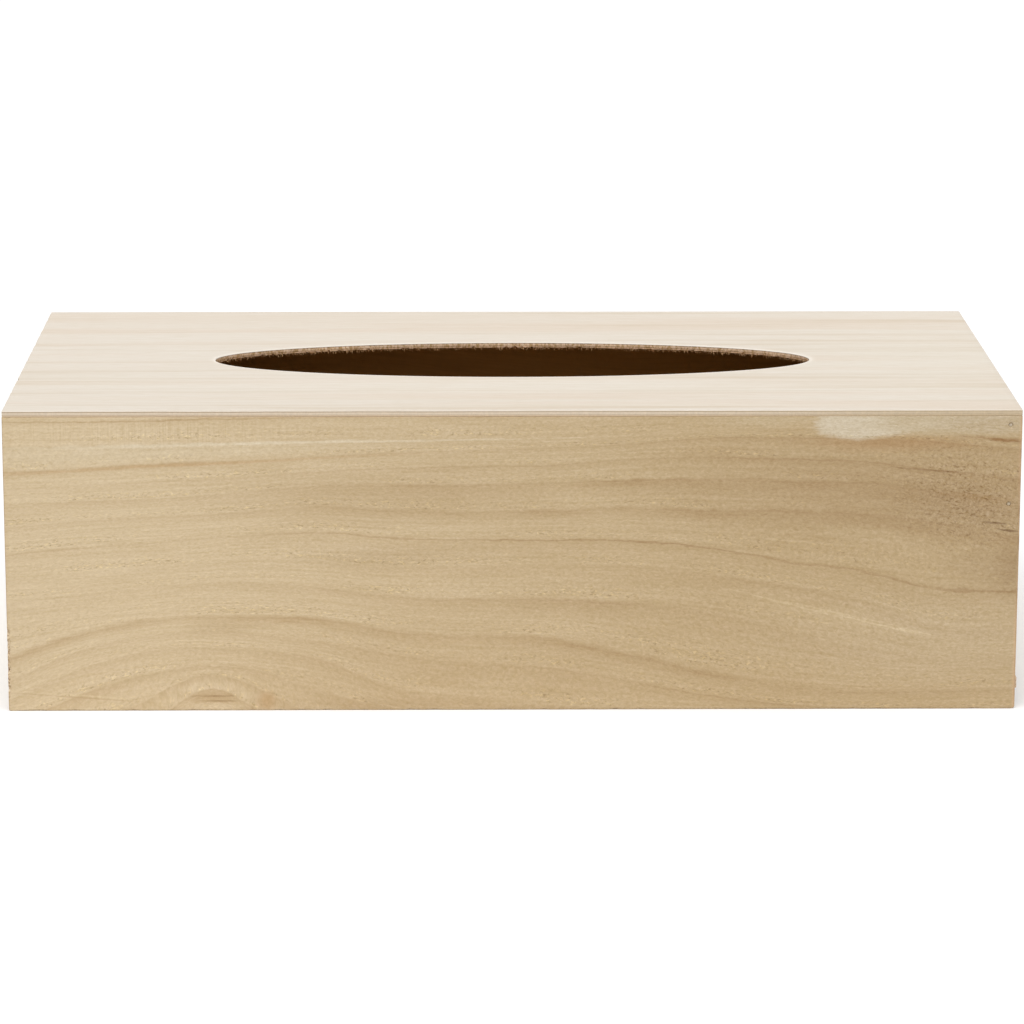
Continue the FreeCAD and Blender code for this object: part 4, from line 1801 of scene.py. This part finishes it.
FRONT_GROWTH = Growth(130.0, (
    GrowthLine(BURIED, (0.8, 0.8, 0.8), (0.3, 0.3, 0.3), 0.7, 9.6, -77.5, 12.0),
    GrowthLine(BURIED, (0.65, 0.65, 0.65), (0.1, 0.1, 0.1), 0.45, 13.4, -77.5, 20.0),
    GrowthLine((-5, 4.5, 10.4, 11.2, 5.0, -1, -4, -5, -6, -6, -6, -6, -6, -6),
               (0.6, 0.6, 0.6), (0.1, 0.1, 0.1), 0.5),
    GrowthLine((2.5, 11.5, 16.3, 16.0, 13.4, 4.6, 1.2, 0.2, -1, -2, -3, -3, -3, -3),
               (0.45, 0.55, 0.5), (0.1, 0.2, 0.2), 0.5),
    GrowthLine((7.5, 16.4, 20.3, 20.4, 18.0, 14.6, 12.0, 11.0, 7.4, 3.6, 1.2, 0.2, 0, 0),
               (0.35, 0.5, 0.4), (0.1, 0.3, 0.3), 0.5),
    GrowthLine((13.2, 20.3, 23.8, 24.6, 24.0, 20.6, 19.0, 18.3, 14.2, 9.3, 5.8, 4.2, 4.3, 5.0),
               (0.9, 0.9, 0.55), (0.2, 0.2, 0.3), 0.5),
    GrowthLine((29.0, 31.0, 33.2, 34.2, 32.4, 29.8, 29.2, 29.3, 28.5, 25.7, 20.5, 15.7, 13.7, 13.0),
               (0.15, 0.75, 0.4), (0.1, 0.3, 0.2), 0.45),
    GrowthLine((34.5, 36.0, 37.8, 39.6, 39.2, 37.6, 37.8, 37.9, 37.7, 35.6, 32.5, 28.6, 21.6, 20.5),
               (0.15, 0.25, 0.5), (0.0, 0.1, 0.1), 0.55),
    GrowthLine((41.2, 43.4, 44.7, 46.4, 47.2, 45.5, 45.3, 45.0, 44.7, 43.0, 39.1, 36.4, 31.8, 31.2),
               (0.2, 0.35, 0.45), (0.35, 0.75, 1.0), 0.6),
    GrowthLine((48.3, 50.3, 51.3, 52.3, 53.9, 52.8, 52.2, 52.7, 53.0, 52.6, 52.4, 51.5, 48.8, 45.0),
               (0.3, 0.75, 0.9), (0.1, 0.2, 0.4), 0.4),
    GrowthLine((54.6, 55.2, 56.0, 57.6, 59.3, 59.4, 59.4, 60.1, 60.6, 61.1, 60.4, 60.0, 57.5, 53.6),
               (0.4, 0.85, 0.7), (0.1, 0.4, 0.3), 0.65),
    GrowthLine((58.5, 59.4, 60.4, 61.5, 63.0, 64.0, 64.5, 64.6, 66.3, 66.8, 66.2, 65.4, 62.9, 60.5),
               (0.25, 0.4, 0.6), (0.1, 0.3, 0.6), 0.45),
    GrowthLine((62.7, 63.7, 65.0, 65.9, 67.0, 67.9, 68.6, 69.2, 70.3, 71.9, 71.9, 71.5, 70.6, 68.5),
               (0.6, 0.25, 0.8), (0.3, 0.15, 0.3), 0.5),
    GrowthLine((70.3, 70.4, 70.9, 71.4, 71.7, 71.6, 71.8, 72.0, 72.8, 74.0, 74.5, 74.5, 74.0, 73.0),
               (0.0, 0.0, 0.0), (0.0, 0.0, 0.0), 0.5),
    GrowthLine((76.2, 76.1, 76.6, 76.9, 77.2, 77.5, 77.6, 77.6, 77.7, 78.0, 78.3, 78.5, 78.5, 78.5),
               (0.4, 0.2, 0.0), (0.8, 0.4, 0.2), 0.3),
), 0.5)

FRONT_MARKS = (
    Mark(screen(174, 145, 107), Patch(0.5, 104.0, 58.0, 66.0, 15.0, 1.0)),
    Mark(screen(170, 143, 110), Patch(0.4, 118.0, 53.0, 22.0, 9.0, 1.0, -0.1)),
    Mark(screen(206, 184, 150), Patch(0.6, 108.0, 18.0, 46.0, 16.0, 1.0)),
    Mark(screen(180, 154, 118), Patch(0.5, 124.0, 38.5, 15.0, 7.0, 1.0)),
    Mark(screen(160, 130, 94), Patch(0.4, 129.0, 37.0, 6.0, 9.0, 1.0)),
    Mark(screen(202, 178, 140), Patch(0.5, 92.0, 46.4, 16.0, 2.4, 1.0, -0.1)),
    Mark(screen(188, 160, 120), Patch(0.4, 50.0, 68.3, 17.0, 2.2, 1.0)),
    Mark(screen(210, 187, 150), Patch(0.5, 22.0, 30.6, 22.0, 2.4, 1.0)),
    Mark(screen(194, 169, 132), Patch(0.45, -32.0, 41.0, 24.0, 3.4, 1.0)),
    Mark(screen(192, 166, 126), Patch(0.5, -74.0, 22.3, 13.0, 1.9, 1.0)),
    Mark(screen(188, 160, 121), Patch(0.45, -32.0, 1.6, 34.0, 2.0, 1.0)),
    Mark(screen(194, 167, 127), Patch(0.35, -32.0, 8.0, 58.0, 17.0, 1.0)),
    Mark(screen(188, 161, 122), Patch(0.36, -36.0, 56.5, 44.0, 8.0, 1.0)),
    Mark(screen(222, 204, 172), Patch(0.5, -92.0, 13.55, 60.0, 0.4, 0.9, 0.0, Space.YEARS)),
    Mark(screen(228, 212, 184), Patch(0.75, -62.0, 13.85, 74.0, 0.09, 0.9, 0.0, Space.YEARS)),
    Mark(screen(196, 156, 106), Patch(0.4, -86.0, 12.93, 56.0, 0.1, 1.0, 0.0, Space.YEARS)),
    Mark(screen(216, 194, 156), Patch(0.22, 82.0, 25.5, 27.0, 3.2, 1.0, -0.23, Space.FACE, 2.2)),
    Mark(screen(224, 203, 166), Patch(0.42, 70.6, 28.2, 13.5, 0.34, 0.8, -0.26, Space.FACE, 2.2)),
    Mark(screen(224, 203, 166), Patch(0.42, 82.3, 26.0, 13.0, 0.3, 0.8, -0.23, Space.FACE, 2.2)),
    Mark(screen(226, 205, 168), Patch(0.45, 93.7, 22.7, 16.5, 0.32, 0.8, -0.25, Space.FACE, 2.2)),
    Mark(screen(224, 203, 166), Patch(0.4, 101.0, 21.2, 9.5, 0.28, 0.8, -0.2, Space.FACE, 2.2)),
    Mark(screen(182, 146, 104), Patch(0.6, 96.0, 70.4, 24.0, 2.6, 1.0)),
    Mark(screen(204, 184, 150), Patch(0.7, 118.0, 76.2, 34.0, 3.4, 0.5)),
    Mark(screen(208, 188, 154), Patch(0.5, 64.0, 77.0, 16.0, 2.6, 0.9)),
    Mark(screen(218, 203, 177),
         Patch(0.9, 88.0, 79.2, 42.0, 6.5, 0.2, 0.0, Space.FACE, 0.3, Form.POINTED, 77.5)),
    Mark(screen(202, 182, 148), Patch(0.7, 107.0, 76.6, 13.0, 4.0, 0.6)),
    Mark(screen(200, 180, 149), Patch(0.7, 124.0, 75.6, 16.0, 2.8, 0.7)),
    Mark(screen(154, 116, 74), Patch(0.85, 124.4, 71.2, 9.6, 0.6, 1.0, -0.1, Space.FACE, 3.0)),
    Mark(screen(170, 139, 99), Patch(0.6, 119.0, 56.2, 10.0, 1.1, 0.9, -0.1, Space.FACE, 1.8)),
    Mark(screen(142, 110, 76), Patch(0.5, 108.0, 63.2, 11.0, 0.26, 0.8, -0.08, Space.FACE, 2.6)),
    Mark(screen(120, 92, 66), Patch(0.7, 124.2, 49.4, 3.6, 0.3, 0.8, -0.1, Space.FACE, 2.4)),
    Mark(screen(120, 92, 66), Patch(0.7, 127.0, 47.4, 2.6, 0.3, 0.8, -0.1, Space.FACE, 2.4)),
    Mark(screen(224, 202, 167), Patch(0.3, -79.0, 2.5, 12.5, 5.2, 0.7)),
    Mark(screen(192, 163, 122), Patch(0.6, -77.3, 3.4, 6.6, 1.7, 0.8)),
    Mark(screen(160, 126, 86), Patch(0.55, -77.5, 3.9, 6.0, 0.3, 0.8, 0.0, Space.FACE, 1.6)),
    Mark(screen(160, 126, 86), Patch(0.5, -76.0, 2.6, 5.5, 0.28, 0.8, 0.0, Space.FACE, 1.6)),
    Mark(screen(194, 150, 102), Patch(0.4, -63.5, 2.4, 2.6, 3.2, 1.0)),
    Mark(screen(188, 156, 114), Patch(0.4, -112.0, 3.6, 19.0, 0.2, 0.9, -0.075, Space.FACE, 1.6)),
    Mark(screen(228, 208, 168), Patch(0.45, -112.0, 4.2, 19.0, 0.22, 0.9, -0.075, Space.FACE, 1.6)),
)


def build_boards() -> list[bpy.types.Object]:
    """Build the four boards.

    Returns:
        The finished pieces.
    """
    pale = screen(220, 198, 162)
    warm = screen(197, 172, 133)
    streaks = (
        Mark(screen(220, 202, 170), Patch(0.6, 40.0, 7.8, 90.0, 0.14, 0.9, 0.0, Space.YEARS)),
        Mark(screen(180, 150, 112), Patch(0.5, -60.0, 22.0, 60.0, 8.0, 1.0)),
    )
    front = BoardFinish(
        "front_board_wood", FRONT_GROWTH, FRONT_MARKS, pale, warm, -130.0, 100.0, 0.0,
        coarse=Patch(0.9, 117.0, 56.5, 21.0, 17.0, 1.0, -0.1), combed=Patch(1.0, -92.0, 73.5, 42.0, 4.0, 1.0),
    )
    back = BoardFinish(
        "back_board_wood", Growth.arched(130.0, 36.0, 34.0, 7.0, 11, 2.0), streaks, pale, warm,
        120.0, -140.0, 31.0,
    )
    left = BoardFinish(
        "left_end_board_wood", Growth.arched(64.0, -18.0, 22.0, 5.0, 12, 5.0), (), pale, warm,
        -60.0, 150.0, 53.0,
    )
    right = BoardFinish(
        "right_end_board_wood", Growth.arched(64.0, 24.0, 30.0, 6.0, 11, 8.0), streaks[1:], pale, warm,
        -140.0, 60.0, 71.0,
    )
    boards = [
        Board(
            "front_board", "bare_front_board", Side.FRONT, front, ease_left=0.35, ease_right=1.1,
            open_pins=((1, 3), (1, 2)), nicks=(3.0, 25.0),
            # Paler right arris: sanded wear and a painted highlight, set by height.
            worn_and_highlit_right=((21.0, 0.36), (29.0, 0.1), (36.0, 0.0), (52.0, 0.02), (60.0, 0.2), (74.0, 0.26)),
        ),
        Board(
            "back_board", "bare_back_board", Side.BACK, back, ease_left=0.7, ease_right=0.45,
            open_pins=((-1, 3), (1, 1)), worn_and_highlit_right=((0.0, 0.4),),
        ),
        Board(
            "left_end_board", "bare_left_end_board", Side.LEFT, left, ease_left=0.1, ease_right=0.1,
        ),
        Board(
            "right_end_board", "bare_right_end_board", Side.RIGHT, right, ease_left=0.1, ease_right=0.1,
            grooved=False,
        ),
    ]
    return [board.build() for board in boards]


def build_sheets() -> list[bpy.types.Object]:
    """Build the slotted top with its loose fibres, and the sliding base.

    Returns:
        The finished pieces.
    """
    top_low, top_high = cad_box("top_panel")
    base_low, base_high = cad_box("base_panel")
    top = SheetFinish(
        name="pale_veneer_ply",
        # The rim colour is a highlight painted round the slot.
        rim=screen(244, 235, 222),
        face=screen(232, 222, 208),
        streak=screen(229, 215, 198),
        line=screen(212, 195, 169),
        plies=(
            (0.0, screen(208, 184, 152)),
            (0.2, screen(216, 193, 164)),
            (0.28, screen(206, 182, 153)),
            (0.34, screen(226, 208, 184)),
            (0.68, screen(228, 211, 188)),
            (0.74, screen(190, 168, 140)),
            (0.84, screen(180, 156, 128)),
            (0.9, screen(236, 225, 209)),
        ),
        slot_plies=(
            (0.0, screen(170, 132, 96)),
            (0.2, screen(216, 178, 140)),
            (0.3, screen(206, 166, 128)),
            (0.4, screen(240, 202, 162)),
            (0.7, screen(244, 208, 170)),
            (0.76, screen(220, 182, 146)),
            (0.9, screen(248, 218, 184)),
        ),
        bottom=top_low[2],
        top=top_high[2],
        shift=0.0,
        marks=(
            Mark(screen(232, 223, 208), Patch(0.6, 114.0, -2.0, 42.0, 56.0, 1.0)),
            Mark(screen(233, 224, 210), Patch(0.6, -110.0, -26.0, 42.0, 12.0, 1.0)),
            Mark(screen(236, 228, 215), Patch(0.8, 4.0, -38.5, 130.0, 11.5, 1.0)),
            Mark(screen(228, 214, 195), Patch(0.45, -40.0, -54.0, 100.0, 2.8, 1.0)),
            Mark(screen(236, 227, 213), Patch(0.55, 34.0, -62.8, 74.0, 2.6, 1.0)),
            Mark(screen(228, 214, 196), Patch(0.5, -45.0, 58.0, 110.0, 14.0, 1.0)),
        ),
        edge_marks=(Mark(screen(200, 179, 145), Patch(0.7, 130.0, 78.2, 85.0, 60.0, 1.0)),),
    )
    base = SheetFinish(
        name="base_ply",
        rim=screen(208, 179, 134),
        face=screen(208, 179, 134),
        streak=screen(197, 166, 120),
        line=screen(174, 141, 97),
        plies=(
            (0.0, screen(222, 194, 164)),
            (0.28, screen(226, 200, 172)),
            (0.33, screen(178, 146, 114)),
            (0.38, screen(232, 206, 178)),
            (0.62, screen(230, 204, 176)),
            (0.67, screen(180, 148, 116)),
            (0.72, screen(228, 202, 174)),
        ),
        slot_plies=((0.0, screen(200, 170, 140)), (1.0, screen(200, 170, 140))),
        bottom=base_low[2],
        top=base_high[2],
        shift=40.0,
    )
    fibre = FibreFinish("slot_fibre", screen(214, 172, 126), screen(152, 108, 70))
    sheet = TopSheet(top)
    return [sheet.build(), BaseSheet(base).build(), SlotFibres(sheet, fibre).build()]


def build_pins() -> list[bpy.types.Object]:
    """Build the four rows of pins.

    Returns:
        The finished pieces.
    """
    finish = WireFinish("drawn_wire")
    corners = ("front_left", "front_right", "back_left", "back_right")
    return [PinRow(f"{corner}_pins", finish).build() for corner in corners]


def main() -> None:
    """Stand the camera, build every piece and log its faces, then lay the floor and light the scene."""
    logging.basicConfig(level=logging.INFO, format="%(message)s")
    studio = Studio()
    studio.set_camera()
    pieces = build_boards() + build_sheets() + build_pins()
    for piece in pieces:
        LOG.info("%s: %d faces", piece.name, len(piece.data.polygons))
    studio.lay_floor()
    studio.light()


if __name__ == "__main__":
    main()
